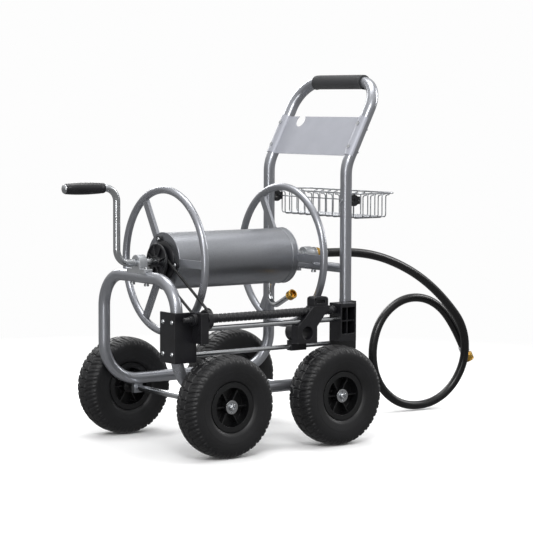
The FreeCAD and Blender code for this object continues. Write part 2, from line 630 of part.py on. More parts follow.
swivel_x = size("swivel_x")
outlet_x = size("outlet_x")
water_start = outlet_x - 2 * size("pipe_d")
water_end = swivel_x + 8
water_tube = solid_rod(size("water_tube_r"), water_end - water_start, "x",
                       ((water_start + water_end) / 2, 0, axis_z))
water_tube = water_tube.cut(Part.makeCylinder(size("pipe_d") / 2, water_end - water_start,
                                              Vector(water_start + 5, 0, axis_z), Vector(1, 0, 0)))
shape_part("water_tube", water_tube)

OUTLET_RISE = math.radians(26)
outlet_way = Vector(0, -math.cos(OUTLET_RISE), math.sin(OUTLET_RISE))
outlet_corner = Vector(outlet_x, 0, axis_z - 2 * size("drum_r") + 2)
outlet_end = outlet_corner + outlet_way * 100
outlet_path = bent_path([(outlet_x, 0, axis_z - size("water_tube_r") + 2), outlet_corner, outlet_end],
                        [1.8 * size("pipe_d")])
outlet_pipe = tube(outlet_path, size("pipe_d") / 2, 2)
outlet_pipe = outlet_pipe.cut(solid_rod(size("water_tube_r"), 90, "x", (outlet_x, 0, axis_z)))
shape_part("outlet_pipe", outlet_pipe)
coupling_start = outlet_end - outlet_way * 4
coupling = Part.makeCylinder(12.5, 17, coupling_start, outlet_way)
coupling = coupling.cut(Part.makeCylinder(size("pipe_d") / 2, 4, coupling_start, outlet_way))
coupling = coupling.cut(Part.makeCylinder(size("pipe_d") / 2 - 2, 20, coupling_start, outlet_way))
shape_part("outlet_coupling", coupling)

# inlet: a grey swivel on the end of the water tube, then a brass nut, a ferrule and the leader hose
NUT_R = 17
swivel = solid_rod(15, 12, "x", (swivel_x + 8, 0, axis_z))
swivel = swivel.fuse(solid_rod(NUT_R, 3, "x", (swivel_x + 12.5, 0, axis_z)))
swivel = swivel.cut(Part.makeCylinder(size("water_tube_r") + bore_gap, 8 + size("side_gap"),
                                      Vector(swivel_x, 0, axis_z), Vector(1, 0, 0)))
shape_part("inlet_swivel", swivel.removeSplitter())
swivel_face = swivel_x + 14


def hex_bar(across_flats, length, start):
    """Hexagonal bar along +X from a start point."""
    corner_r = across_flats / math.sqrt(3)
    corners = [Vector(start.x, start.y + corner_r * math.cos(math.radians(60 * i)),
                      start.z + corner_r * math.sin(math.radians(60 * i))) for i in range(7)]
    return Part.Face(Part.makePolygon(corners)).extrude(Vector(length, 0, 0))


nut = hex_bar(2 * NUT_R - 4, 12, Vector(swivel_face, 0, axis_z))
nut = nut.fuse(solid_rod(13, 12, "x", (swivel_face + 18, 0, axis_z))).removeSplitter()
shape_part("swivel_nut", nut)

# ---------------------------------------------------------------- leader hose
# The hose's line, chosen by hand: straight out of the ferrule, down to the floor in one wide loop that stands
# against its own first strand, and back to the loose end.
HOSE_ROUTE = [
    (316, 0, 467.8), (396, 0, 467.8), (492, -4, 454), (594, 7, 420), (690, 22, 373), (778, 37, 311),
    (855, 48, 236), (876, 59, 145), (844, 72, 64), (771, 83, 14), (668, 92, 14), (589, 100, 72),
    (562, 106, 166), (595, 110, 264), (679, 110, 320), (775, 104, 315), (849, 94, 253), (889, 88, 171),
]
hose_r = size("hose_d") / 2


def route_bends(points):
    """Largest even bends: 0.45 of the shorter run over the tangent of half the turn."""
    radii = []
    for before, corner, after in zip(points, points[1:], points[2:]):
        way_in = Vector(*corner) - Vector(*before)
        way_out = Vector(*after) - Vector(*corner)
        radii.append(0.45 * min(way_in.Length, way_out.Length) / math.tan(way_in.getAngle(way_out) / 2))
    return radii


hose_bends = route_bends(HOSE_ROUTE)
hose_path = bent_path(HOSE_ROUTE, hose_bends)
hose = pipe(hose_path, hose_r)
print("hose bends, mm:", " ".join(f"{radius:.0f}" for radius in hose_bends))
print(f"hose length {hose_path.Length:.0f} mm, volume over section times length",
      f"{hose.Volume / (math.pi * hose_r ** 2 * hose_path.Length):.4f}")
shape_part("leader_hose", hose)

hose_out = (Vector(*HOSE_ROUTE[-1]) - Vector(*HOSE_ROUTE[-2])).normalize()
hose_tip = Vector(*HOSE_ROUTE[-1])
FERRULE_WALL = 2.2
ferrule_start = swivel_face + 24
first_ferrule = solid_rod(hose_r + FERRULE_WALL, size("hose_start") - ferrule_start, "x",
                          ((ferrule_start + size("hose_start")) / 2, 0, axis_z))
end_ferrule = Part.makeCylinder(hose_r + FERRULE_WALL, 18, hose_tip, hose_out)
shape_part("hose_ferrules", Part.makeCompound([first_ferrule, end_ferrule]))
collar_start = hose_tip + hose_out * 18
connector = Part.makeCylinder(17, 20, collar_start + hose_out * 8, hose_out)
connector = connector.fuse(Part.makeCylinder(12, 8, collar_start, hose_out))
connector = connector.cut(Part.makeCylinder(13.2, 14, collar_start + hose_out * 14, hose_out))
shape_part("hose_connector", connector.removeSplitter())

# ---------------------------------------------------------------- hose guide
guide_y = size("guide_y")
screw_z = size("screw_height")
upper_z = size("upper_rod_height")
lower_y = size("lower_rod_y")
lower_z = size("lower_rod_height")
wall = size("bracket_wall")
low, high = size("bracket_low"), size("bracket_high")
box_front, box_back = size("box_front"), size("box_back")
plate_x = size("rear_plate_x")
journal_r = size("journal_r")
near_face = -half - tube_r - 2
GUIDE_REACH = 24
TYRE_CLEAR = 6
box_near = guide_y - GUIDE_REACH
screw_tip = box_front - 36
thread_start, thread_end = box_back + size("cover_l") + 2, plate_x - 4


def clamp_block(x, closed_x, open_x):
    """Plastic clamp round a frame tube: a channel closed at one x and open at the other, and two collars."""
    toward = 1 if open_x > closed_x else -1
    inner = -half + 45
    body = solid_block((closed_x, near_face - wall, low), (open_x, inner, high))
    body = body.cut(solid_block((closed_x + toward * wall, near_face, low - 1),
                                (open_x + toward, inner + 1, high + 1)))
    for z in (low + 22, high - 24):
        body = body.fuse(solid_block((closed_x + toward * (wall - 1), near_face - 1, z - 14),
                                     (x + toward * (tube_r + 4), -half + tube_r + 6, z + 14)))
    return body.removeSplitter().cut([side_pipes[-1], pipe(hoop_path, tube_r)])


front_back = box_front + 16
front_clamp = clamp_block(hoop_x, hoop_x - tube_r - wall - 0.5, front_back)
rod_plate = solid_block((front_back - wall, near_face - 1, lower_z - 14),
                        (front_back, -half + 18, lower_z + 14))
front_clamp = front_clamp.fuse(rod_plate).removeSplitter()
rod_seat = solid_rod(size("lower_rod_r"), 2 * wall, "x", (front_back - wall, lower_y, lower_z))
front_clamp = front_clamp.cut(rod_seat)
shape_part("guide_bracket_front", front_clamp)

cover_r, cover_l = size("cover_r"), size("cover_l")
pulley_box = solid_block((box_front, near_face - wall, size("box_low")), (box_back, box_near, high))
pulley_box = pulley_box.cut(solid_block((box_front + wall, near_face - wall - 1, size("box_low") + wall),
                                        (box_back - wall, box_near + wall, high - wall)))
cover = solid_rod(cover_r, cover_l, "x", (box_back + cover_l / 2, guide_y, screw_z))
cover = cover.cut(Part.makeCylinder(cover_r - 2, cover_l - 2, Vector(box_back - 0.01, guide_y, screw_z),
                                    Vector(1, 0, 0)))
mouth = solid_block((box_back, 0, -cover_r - 1), (box_back + cover_l - 2, 3 * cover_r, cover_r + 1))
mouth.rotate(Vector(0, 0, 0), Vector(1, 0, 0), math.degrees(math.atan2(axis_z - screw_z, -guide_y)))
mouth.translate(Vector(0, guide_y, screw_z))
pulley_box = pulley_box.fuse(cover.cut(mouth)).removeSplitter()
pulley_box = pulley_box.cut(solid_rod(journal_r + bore_gap, 90, "x", (box_front, guide_y, screw_z)))
rod_seat = solid_rod(size("upper_rod_r"), 3 * cover_l, "x", (box_back + cover_l, guide_y, upper_z))
pulley_box = pulley_box.cut(rod_seat)
shape_part("pulley_box", pulley_box)

screw_end = plate_x + wall + 6
screw = rod("ScrewThread", "Sizes.screw_r", f"{thread_end - thread_start}", "x",
            ((thread_start + thread_end) / 2, guide_y, screw_z))
journal = rod("ScrewJournal", "Sizes.journal_r", f"{screw_end - screw_tip}", "x",
              ((screw_end + screw_tip) / 2, guide_y, screw_z))
finish(fuse("LeadScrew", screw, journal), "lead_screw")
finish(placed(turned("screw_pulley", "x", [
    ("Sizes.journal_r", "Sizes.belt_x - Sizes.belt_w / 2 - 2"),
    ("Sizes.screw_pulley_r + 2.5", "Sizes.belt_x - Sizes.belt_w / 2 - 2"),
    ("Sizes.screw_pulley_r + 2.5", "Sizes.belt_x - Sizes.belt_w / 2 - 0.5"),
    ("Sizes.screw_pulley_r", "Sizes.belt_x - Sizes.belt_w / 2 - 0.5"),
    ("Sizes.screw_pulley_r", "Sizes.belt_x + Sizes.belt_w / 2 + 0.5"),
    ("Sizes.journal_r", "Sizes.belt_x + Sizes.belt_w / 2 + 0.5")]), 0, guide_y, screw_z), "screw_pulley")
finish(placed(turned("screw_collar", "x", [
    ("Sizes.journal_r", "Sizes.box_front - 20"), ("9", "Sizes.box_front - 20"), ("9", "Sizes.box_front - 11"),
    ("14", "Sizes.box_front - 11"), ("14", "Sizes.box_front - 0.5"),
    ("Sizes.journal_r", "Sizes.box_front - 0.5")]), 0, guide_y, screw_z), "screw_collar")


def belt_loop(extra):
    """Filled outline of a belt round both pulleys, that much outside their grooves."""
    centre_a, r_a = Vector(0, 0, axis_z), size("belt_r") + extra
    centre_b, r_b = Vector(0, guide_y, screw_z), size("screw_pulley_r") + extra
    span = centre_b - centre_a
    away = math.atan2(span.z, span.y)
    spread = math.acos((r_a - r_b) / span.Length)
    corners = []
    for centre, radius, signs in ((centre_a, r_a, (1, -1)), (centre_b, r_b, (-1, 1))):
        for sign in signs:
            angle = away + sign * spread
            corners.append(centre + Vector(0, math.cos(angle), math.sin(angle)) * radius)
    strip = Part.Face(Part.makePolygon(corners + corners[:1])).extrude(Vector(size("belt_w"), 0, 0))
    discs = [Part.makeCylinder(radius, size("belt_w"), centre, Vector(1, 0, 0))
             for centre, radius in ((centre_a, r_a), (centre_b, r_b))]
    loop = strip.fuse(discs)
    loop.translate(Vector(belt_x - size("belt_w") / 2, 0, 0))
    return loop


belt = belt_loop(size("belt_gap") + size("belt_t")).cut(belt_loop(size("belt_gap")))
shape_part("drive_belt", belt.removeSplitter())

upper_start = box_back + cover_l - 2
upper_rod = rod("UpperRod", "Sizes.upper_rod_r", f"{plate_x + wall - upper_start}", "x",
                ((plate_x + wall + upper_start) / 2, guide_y, upper_z))
finish(upper_rod, "guide_rod_upper")
lower_start = front_back - wall
lower_end = upright_x - tube_r - 2
lower_rod = rod("LowerRod", "Sizes.lower_rod_r", f"{lower_end - lower_start}", "x",
                ((lower_end + lower_start) / 2, lower_y, lower_z))
finish(lower_rod, "guide_rod_lower")

# rear bracket: clamp round the upright, with an outboard box that carries the ends of the screw and rods
rear_closed = upright_x + tube_r + wall + 0.5
rear_open = upright_x - tube_r - 4
shelf = 2 * axle_z + TYRE_CLEAR
rear_bracket = clamp_block(upright_x, rear_closed, rear_open)
rear_bracket = rear_bracket.fuse([
    solid_block((plate_x, near_face - wall, shelf), (plate_x + wall, box_near, high)),
    solid_block((plate_x, box_near, shelf), (rear_open + wall, box_near + wall, shelf + 20)),
    solid_block((plate_x, box_near, high - 10), (rear_open + wall, box_near + wall, high)),
    solid_block((rear_open, box_near, shelf), (rear_open + wall, near_face, high)),
    solid_block((plate_x, near_face - wall, low), (rear_open + wall, near_face, high)),
    solid_block((plate_x, box_near, shelf), (rear_open + wall, near_face, shelf + wall)),
    solid_block((plate_x, box_near, high - wall), (rear_open + wall, near_face, high)),
    solid_block((plate_x, box_near + 6, screw_z - 30), (rear_open + wall, near_face, screw_z - 27)),
    solid_block((plate_x + 24, box_near + 6, shelf), (plate_x + 27, near_face, high - wall)),
])
rear_bracket = rear_bracket.cut(solid_rod(journal_r + bore_gap, 60, "x", (plate_x + 10, guide_y, screw_z)))
rear_bracket = rear_bracket.cut(solid_rod(size("upper_rod_r"), 2 * wall, "x", (plate_x, guide_y, upper_z)))
rear_bracket = rear_bracket.cut(solid_rod(size("lower_rod_r"), 200, "x", (lower_end - 100, lower_y, lower_z)))
shape_part("guide_bracket_rear", rear_bracket.removeSplitter())

BRACKET_BOLT_R = 5
clamp_bolts = []
for z in (low + 22, high - 24):
    for y in (-half + 30, -half - 9):
        x = hoop_x - tube_r - wall - 0.5
        clamp_bolts.append(solid_rod(BRACKET_BOLT_R, 4, "x", (x - 2, y, z)))
    x = rear_closed + 2
    clamp_bolts.append(solid_rod(BRACKET_BOLT_R, 4, "x", (x, -half + 30, z)))
shape_part("clamp_bolts", Part.makeCompound(clamp_bolts))

# carriage: front plate that leans back over the screw, hose eye, lug on the lower rod and the pawl's cap
eye_x, eye_z, eye_r = size("eye_x"), size("eye_height"), size("eye_r")
SLIDE_GAP = 0.3
PLATE_T = 30
front_face = guide_y - PLATE_T / 2 - 1
rear_face = front_face + PLATE_T
lug_y = -half - tube_r - 5.5
lug_top = lower_z + 16
plate_outline = [(-29, -26), (31, -26), (31, 15), (74, 66), (19, 66), (-29, 18)]
corners = [Vector(eye_x + across, front_face, eye_z + up) for across, up in plate_outline]
carriage = Part.Face(Part.makePolygon(corners + corners[:1])).extrude(Vector(0, PLATE_T, 0))
carriage = carriage.fuse([
    solid_rod(eye_r + 8, 34, "y", (eye_x, rear_face + 15, eye_z)),
    solid_block((eye_x - 24, rear_face - 1, 2 * axle_z + TYRE_CLEAR), (eye_x + 24, lug_y, lug_top)),
    solid_block((eye_x - 24, lug_y, lower_z - 10), (eye_x + 24, lower_y + 10, lug_top))])
carriage = carriage.cut(solid_rod(eye_r, 100, "y", (eye_x, rear_face, eye_z)))
for y, z, radius in ((guide_y, screw_z, size("screw_r")), (guide_y, upper_z, size("upper_rod_r")),
                     (lower_y, lower_z, size("lower_rod_r"))):
    carriage = carriage.cut(solid_rod(radius + SLIDE_GAP, 300, "x", (eye_x, y, z)))
shape_part("hose_guide", carriage.removeSplitter())
cap_low = eye_z + 66
cap = solid_block((eye_x + 20, front_face, cap_low), (eye_x + 66, rear_face, cap_low + 24))
cap = cap.makeFillet(9, [edge for edge in cap.Edges if abs(edge.tangentAt(0).y) > 0.9 and
                         edge.CenterOfMass.z > cap_low + 20])
cap = cap.cut(solid_block((eye_x + 30, front_face - 1, cap_low + 7),
                          (eye_x + 56, front_face + 8, cap_low + 16)))
shape_part("pawl_cap", cap)

# ---------------------------------------------------------------- basket
wire_r, rim_r = size("wire_d") / 2, size("rim_wire_d") / 2
front_x, back_x = size("basket_front"), size("basket_back")
basket_half = size("basket_half")
floor_z, rim_z = size("basket_low"), size("basket_high")
lip = size("rim_lip")
WIRE_BEND = 7
LIP_RISE = 2


def loop_wire(corners, bend, radius):
    """Closed ring of wire through the corners of a flat rectangle."""
    points = [Vector(*corner) for corner in corners]
    start = (points[0] + points[-1]) / 2
    path = bent_path([start] + points + [start], [bend] * len(points))
    return pipe(path, radius)


rim_corners = [(front_x - lip, -basket_half - lip, rim_z), (back_x + lip, -basket_half - lip, rim_z),
               (back_x + lip, basket_half + lip, rim_z), (front_x - lip, basket_half + lip, rim_z)]
shape_part("basket_rim", loop_wire(rim_corners, 22, rim_r))


def wall_wire(low_start, low_end, out):
    """U of wire: in from the rim almost level, down, across under the floor, up and out to the rim."""
    start, end, out = Vector(*low_start), Vector(*low_end), Vector(*out)
    up = Vector(0, 0, rim_z - rim_r - wire_r - start.z)
    flare = Vector(0, 0, up.z - LIP_RISE)
    return pipe(bent_path([start - out + up, start + flare, start, end, end + flare, end + out + up],
                          [WIRE_BEND] * 4), wire_r)


CROSS_WIRES = 11
LONG_WIRES = 4
FLOOR_WIRES = 12
END_INSET = 27
wires = []
out_x = Vector(lip, 0, 0)
out_y = Vector(0, lip, 0)
for i in range(CROSS_WIRES):
    y = (i / (CROSS_WIRES - 1) - 0.5) * 2 * (basket_half - END_INSET)
    wires.append(wall_wire((front_x, y, floor_z), (back_x, y, floor_z), out_x))
long_z = floor_z + size("wire_d")
for i in range(LONG_WIRES):
    x = front_x + 10 + i / (LONG_WIRES - 1) * (back_x - front_x - 20)
    wires.append(wall_wire((x, -basket_half, long_z), (x, basket_half, long_z), out_y))
floor_xs = [front_x + 6 + i / (FLOOR_WIRES - 1) * (back_x - front_x - 12) for i in range(FLOOR_WIRES)]
long_xs = [front_x + 10 + i / (LONG_WIRES - 1) * (back_x - front_x - 20) for i in range(LONG_WIRES)]
for x in floor_xs:
    if min(abs(x - taken) for taken in long_xs) > 1.2 * size("wire_d"):
        wires.append(solid_rod(wire_r, 2 * basket_half - 20, "y", (x, 0, long_z)))
CLIP_HALF = 7
CLIP_HOLE_R = 5
hanger_x = front_x - size("wire_d")
wires.append(solid_rod(wire_r, 2 * basket_half - 4, "y", (hanger_x, 0, size("hanger_height"))))
shape_part("basket_wires", Part.makeCompound(wires))

clips = []
for side in (-1, 1):
    clip = solid_rod(15, 2 * CLIP_HALF, "y", (upright_x + tube_r + 8, side * half, clip_z))
    clip = clip.fuse(solid_block((upright_x, side * half - CLIP_HALF, clip_z - 10),
                                 (hanger_x + wire_r + 3, side * half + CLIP_HALF, clip_z + 10)))
    clip = clip.cut([solid_rod(tube_r, 60, "z", (upright_x, side * half, clip_z)),
                     solid_rod(CLIP_HOLE_R, 40, "y", (upright_x + tube_r + 6, side * half, clip_z)),
                     solid_rod(wire_r, 40, "y", (hanger_x, side * half, clip_z)),
                     solid_block((upright_x, side * half - 12, clip_z - 20),
                                 (upright_x + 0.6 * tube_r, side * half + 12, clip_z + 20))])
    clips.append(max(clip.cut(clip_bolts).Solids, key=lambda piece: piece.Volume).removeSplitter())
shape_part("basket_clips", Part.makeCompound(clips))

# ---------------------------------------------------------------- tool panel, made upright and then leaned
panel_t = size("panel_t")
sheet_r = tube_r + 0.3
panel_len = size("panel_high") - size("panel_low")
panel = solid_block((-size("panel_set") - panel_t, -half, 0), (-size("panel_set"), half, panel_len))
for side in (-1, 1):
    panel = panel.cut(solid_rod(sheet_r, 3 * panel_len, "z", (0, side * half, 0)))
    curl = solid_rod(sheet_r + panel_t, panel_len, "z", (0, side * half, panel_len / 2))
    curl = curl.cut(solid_rod(sheet_r, panel_len + 2, "z", (0, side * half, panel_len / 2)))
    panel = panel.fuse(curl.cut(solid_block((-size("panel_set"), side * half - 30, -1),
                                            (30, side * half + 30, panel_len + 1))))
panel = panel.cut(solid_rod(size("slot_r"), 60, "x", (0, size("slot_y"), panel_len - size("slot_drop"))))
panel.Placement = Placement(on_lean(size("panel_low"), 0), Rotation(Vector(0, 1, 0), size("lean_angle")))
shape_part("tool_panel", panel.cut(panel_bolts).removeSplitter())
shape_part("tube_bolts", Part.makeCompound(tube_bolts))

# ---------------------------------------------------------------- check and write
doc.recompute()
faults = [obj.Name for obj in doc.Objects if "Invalid" in obj.State or "Error" in obj.State]
faults += [obj.Label for obj in sub_parts if obj.Shape.isNull() or not obj.Shape.isValid()]
if faults:
    raise RuntimeError("faulty objects: " + ", ".join(faults))
os.makedirs("parts", exist_ok=True)
for obj in sub_parts:
    obj.Shape.exportStep("parts/" + obj.Label + ".step")
print(len(sub_parts), "sub-parts written")
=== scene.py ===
import math

import bpy
import numpy as np
from mathutils import Matrix, Vector


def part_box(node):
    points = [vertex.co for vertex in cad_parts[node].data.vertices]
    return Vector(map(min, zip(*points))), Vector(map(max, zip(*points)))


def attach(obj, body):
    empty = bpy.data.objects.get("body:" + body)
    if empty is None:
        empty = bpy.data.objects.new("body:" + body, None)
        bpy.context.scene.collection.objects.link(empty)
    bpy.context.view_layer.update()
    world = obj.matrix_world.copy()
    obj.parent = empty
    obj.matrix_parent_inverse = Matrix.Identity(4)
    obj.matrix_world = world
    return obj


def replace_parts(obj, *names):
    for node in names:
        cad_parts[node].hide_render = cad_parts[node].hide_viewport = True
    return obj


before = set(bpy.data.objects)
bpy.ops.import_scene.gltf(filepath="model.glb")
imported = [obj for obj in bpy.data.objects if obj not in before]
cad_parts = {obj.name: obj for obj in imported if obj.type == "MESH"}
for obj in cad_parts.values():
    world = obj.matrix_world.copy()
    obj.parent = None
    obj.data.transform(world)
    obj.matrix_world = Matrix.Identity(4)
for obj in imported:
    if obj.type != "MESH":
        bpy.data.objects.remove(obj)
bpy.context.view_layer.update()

mm = 0.001
# The middle of the wheelbase is x = 0 for the camera and the hose; the row frame's x is wheelMid more.
frontAxle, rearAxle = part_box("front_axle"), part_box("rear_axle")
wheelMid = (frontAxle[0].x + rearAxle[1].x) / 2


def fromWheelbase(point):
    return Vector((point[0] + wheelMid, point[1], point[2]))


# camera
cameraView = {"place": (-3.0061, -4.2389, 0.8646), "yaw": 53.57, "pitch": 4.61, "roll": 0.21, "lens": 137.07}


def makeCamera(settings):
    yaw, pitch, roll = (math.radians(settings[key]) for key in ("yaw", "pitch", "roll"))
    ahead = Vector((math.cos(yaw) * math.cos(pitch), math.sin(yaw) * math.cos(pitch), -math.sin(pitch)))
    level = Vector((math.sin(yaw), -math.cos(yaw), 0))
    upright = level.cross(ahead)
    right = level * math.cos(roll) + upright * math.sin(roll)
    up = upright * math.cos(roll) - level * math.sin(roll)
    data = bpy.data.cameras.new("camera")
    data.lens = settings["lens"]
    data.sensor_width = 36
    data.clip_start, data.clip_end = 0.1, 60
    camera = bpy.data.objects.new("camera", data)
    bpy.context.scene.collection.objects.link(camera)
    turn = Matrix((right, up, -ahead)).transposed().to_4x4()
    camera.matrix_world = Matrix.Translation(fromWheelbase(settings["place"])) @ turn
    bpy.context.scene.camera = camera


makeCamera(cameraView)
print("camera set")


# node helpers
def linearColour(text):
    values = [int(text[i:i + 2], 16) / 255 for i in (1, 3, 5)]
    return [v / 12.92 if v <= 0.04045 else ((v + 0.055) / 1.055) ** 2.4 for v in values] + [1.0]


def addNode(tree, kind, inputs=None, **settings):
    node = tree.nodes.new(kind)
    for key, value in settings.items():
        setattr(node, key, value)
    for socket, value in (inputs or {}).items():
        if isinstance(value, bpy.types.NodeSocket):
            tree.links.new(value, node.inputs[socket])
        else:
            node.inputs[socket].default_value = value
    return node


def newMaterial(name):
    material = bpy.data.materials.new(name)
    material.use_nodes = True
    tree = material.node_tree
    tree.nodes.clear()
    shader = addNode(tree, "ShaderNodeBsdfPrincipled")
    addNode(tree, "ShaderNodeOutputMaterial", {"Surface": shader.outputs["BSDF"]})
    coords = addNode(tree, "ShaderNodeTexCoord").outputs["Object"]
    return material, tree, shader, coords


def noise(tree, coords, sizeMm, detail=3.0, roughness=0.5):
    node = addNode(tree, "ShaderNodeTexNoise", {
        "Vector": coords, "Scale": 1 / (sizeMm * mm), "Detail": detail, "Roughness": roughness})
    return node.outputs["Fac"]


def spread(tree, value, low, high, fromLow=0.3, fromHigh=0.7):
    node = addNode(tree, "ShaderNodeMapRange", {
        "Value": value, "From Min": fromLow, "From Max": fromHigh, "To Min": low, "To Max": high})
    return node.outputs["Result"]


def mixColours(tree, share, first, second):
    # each of the two is a colour's text or another node's output
    ends = {"A": first, "B": second}
    inputs = {key: linearColour(end) if isinstance(end, str) else end for key, end in ends.items()}
    node = addNode(tree, "ShaderNodeMix", {"Factor": share, **inputs}, data_type="RGBA")
    return node.outputs["Result"]


def bump(tree, height, strength, distanceMm, normal=None):
    inputs = {"Height": height, "Strength": strength, "Distance": distanceMm * mm}
    if normal is not None:
        inputs["Normal"] = normal
    return addNode(tree, "ShaderNodeBump", inputs).outputs["Normal"]


def roundedNormal(tree, radiusMm):
    return addNode(tree, "ShaderNodeBevel", {"Radius": radiusMm * mm}, samples=4).outputs["Normal"]


def edgeWear(tree, rounded):
    # bright where a bevelled normal turns away from the face's own
    plain = addNode(tree, "ShaderNodeNewGeometry").outputs["Normal"]
    turn = addNode(tree, "ShaderNodeVectorMath", {0: rounded, 1: plain}, operation="DOT_PRODUCT")
    return spread(tree, turn.outputs["Value"], 1.0, 0.0, 0.75, 0.97)


# materials
# silver metallic frame paint: fine flake, a little orange peel, roughness drifting over wide patches
framePaintLook = {"dark": "#909297", "light": "#A8AAB0", "flakeMm": 0.6, "peelMm": 3.5, "driftMm": 90}


def makeFramePaint(look):
    material, tree, shader, coords = newMaterial("framePaint")
    drift = noise(tree, coords, look["driftMm"])
    flake = noise(tree, coords, look["flakeMm"], 1.0)
    peel = noise(tree, coords, look["peelMm"], 2.0)
    shader.inputs["Metallic"].default_value = 0.85
    tree.links.new(mixColours(tree, spread(tree, flake, 0.2, 0.9), look["dark"], look["light"]),
                   shader.inputs["Base Color"])
    tree.links.new(spread(tree, drift, 0.26, 0.36), shader.inputs["Roughness"])
    tree.links.new(bump(tree, peel, 0.25, 0.05), shader.inputs["Normal"])
    shader.inputs["Coat Weight"].default_value = 0.35
    shader.inputs["Coat Roughness"].default_value = 0.18
    return material


# hammered silver paint on the rolled drum sheet
drumPaintLook = {"dark": "#8E9095", "light": "#A8AAAF", "hammerMm": 1.5, "grainMm": 0.7}


def makeDrumPaint(look):
    material, tree, shader, coords = newMaterial("drumPaint")
    cells = addNode(tree, "ShaderNodeTexVoronoi", {
        "Vector": coords, "Scale": 1 / (look["hammerMm"] * mm), "Randomness": 1.0}, feature="SMOOTH_F1")
    grain = noise(tree, coords, look["grainMm"], 2.0)
    shader.inputs["Metallic"].default_value = 0.95
    tree.links.new(mixColours(tree, spread(tree, cells.outputs["Distance"], 0.9, 0.1, 0.1, 0.7),
                              look["dark"], look["light"]), shader.inputs["Base Color"])
    tree.links.new(spread(tree, grain, 0.3, 0.4), shader.inputs["Roughness"])
    hammered = bump(tree, cells.outputs["Distance"], 0.3, 0.12)
    tree.links.new(bump(tree, grain, 0.15, 0.05, hammered), shader.inputs["Normal"])
    return material


# light grey powder coat on the tool panel
panelPaintLook = {"dark": "#9C9EA6", "light": "#A4A6AE", "peelMm": 1.6, "driftMm": 60}


def makePanelPaint(look):
    material, tree, shader, coords = newMaterial("panelPaint")
    drift = noise(tree, coords, look["driftMm"])
    peel = noise(tree, coords, look["peelMm"], 2.0)
    shader.inputs["Metallic"].default_value = 0.25
    tree.links.new(mixColours(tree, spread(tree, drift, 0.0, 1.0), look["dark"], look["light"]),
                   shader.inputs["Base Color"])
    tree.links.new(spread(tree, peel, 0.42, 0.52), shader.inputs["Roughness"])
    tree.links.new(bump(tree, peel, 0.3, 0.04), shader.inputs["Normal"])
    return material


# cast zinc bearings: dull, slightly pitted
castGreyLook = {"dark": "#A4A6A9", "light": "#BEC0C3", "pitMm": 1.1, "driftMm": 25, "edgeMm": 1.2}


def makeCastGrey(look):
    material, tree, shader, coords = newMaterial("castGrey")
    pits = noise(tree, coords, look["pitMm"], 4.0, 0.6)
    drift = noise(tree, coords, look["driftMm"])
    shader.inputs["Metallic"].default_value = 0.75
    tree.links.new(mixColours(tree, spread(tree, drift, 0.0, 1.0), look["dark"], look["light"]),
                   shader.inputs["Base Color"])
    tree.links.new(spread(tree, pits, 0.36, 0.55), shader.inputs["Roughness"])
    tree.links.new(bump(tree, pits, 0.4, 0.08, roundedNormal(tree, look["edgeMm"])), shader.inputs["Normal"])
    return material


# steel: bright or dull, with drawing marks along the bar
steelLooks = {
    "wireSteel": {"dark": "#A2A4A8", "light": "#B4B6BA", "low": 0.26, "high": 0.34, "markMm": 1.5},
    "zincSteel": {"dark": "#C0C2C5", "light": "#CCCED0", "low": 0.2, "high": 0.27, "markMm": 2.5},
    "brightSteel": {"dark": "#B4B6B9", "light": "#D8DADC", "low": 0.12, "high": 0.22, "markMm": 3.0},
}


def makeSteel(name, look):
    material, tree, shader, coords = newMaterial(name)
    marks = noise(tree, coords, look["markMm"], 3.0)
    patches = noise(tree, coords, 12 * look["markMm"])
    shader.inputs["Metallic"].default_value = 1.0
    tree.links.new(mixColours(tree, spread(tree, patches, 0.0, 1.0), look["dark"], look["light"]),
                   shader.inputs["Base Color"])
    tree.links.new(spread(tree, marks, look["low"], look["high"]), shader.inputs["Roughness"])
    tree.links.new(bump(tree, marks, 0.08, 0.02), shader.inputs["Normal"])
    return material


# machined brass, darker where fingers and water have been
brassLook = {"dark": "#B48C40", "light": "#D2AA58", "turnMm": 0.6, "stainMm": 14}


def makeBrass(look):
    material, tree, shader, coords = newMaterial("brass")
    stain = noise(tree, coords, look["stainMm"])
    turning = noise(tree, coords, look["turnMm"], 2.0)
    shader.inputs["Metallic"].default_value = 1.0
    tree.links.new(mixColours(tree, spread(tree, stain, 0.1, 1.0), look["dark"], look["light"]),
                   shader.inputs["Base Color"])
    tree.links.new(spread(tree, turning, 0.2, 0.34), shader.inputs["Roughness"])
    tree.links.new(bump(tree, turning, 0.05, 0.02), shader.inputs["Normal"])
    return material


# black mouldings and rubbers: base colours, roughness range, grain and a paler, rubbed edge
mouldedEdgeMm = 1.0
blackLooks = {
    "blackPlastic": {"dark": "#0F0F12", "light": "#16161A", "low": 0.3, "high": 0.42, "grainMm": 0.7,
                     "grain": 0.3, "edge": "#3A3B3E"},
    "rimPlastic": {"dark": "#08080A", "light": "#0E0F10", "low": 0.28, "high": 0.42, "grainMm": 0.8,
                   "grain": 0.25, "edge": "#2E2F31"},
    "tyreRubber": {"dark": "#08080A", "light": "#0F0F12", "low": 0.42, "high": 0.56, "grainMm": 1.4,
                   "grain": 0.45, "edge": "#2C2D2F"},
    "hoseRubber": {"dark": "#040405", "light": "#08080A", "low": 0.24, "high": 0.32, "grainMm": 0.9,
                   "grain": 0.2, "edge": "#242527"},
    "beltRubber": {"dark": "#0B0B0B", "light": "#141415", "low": 0.5, "high": 0.62, "grainMm": 0.6,
                   "grain": 0.3, "edge": "#1E1F20"},
}


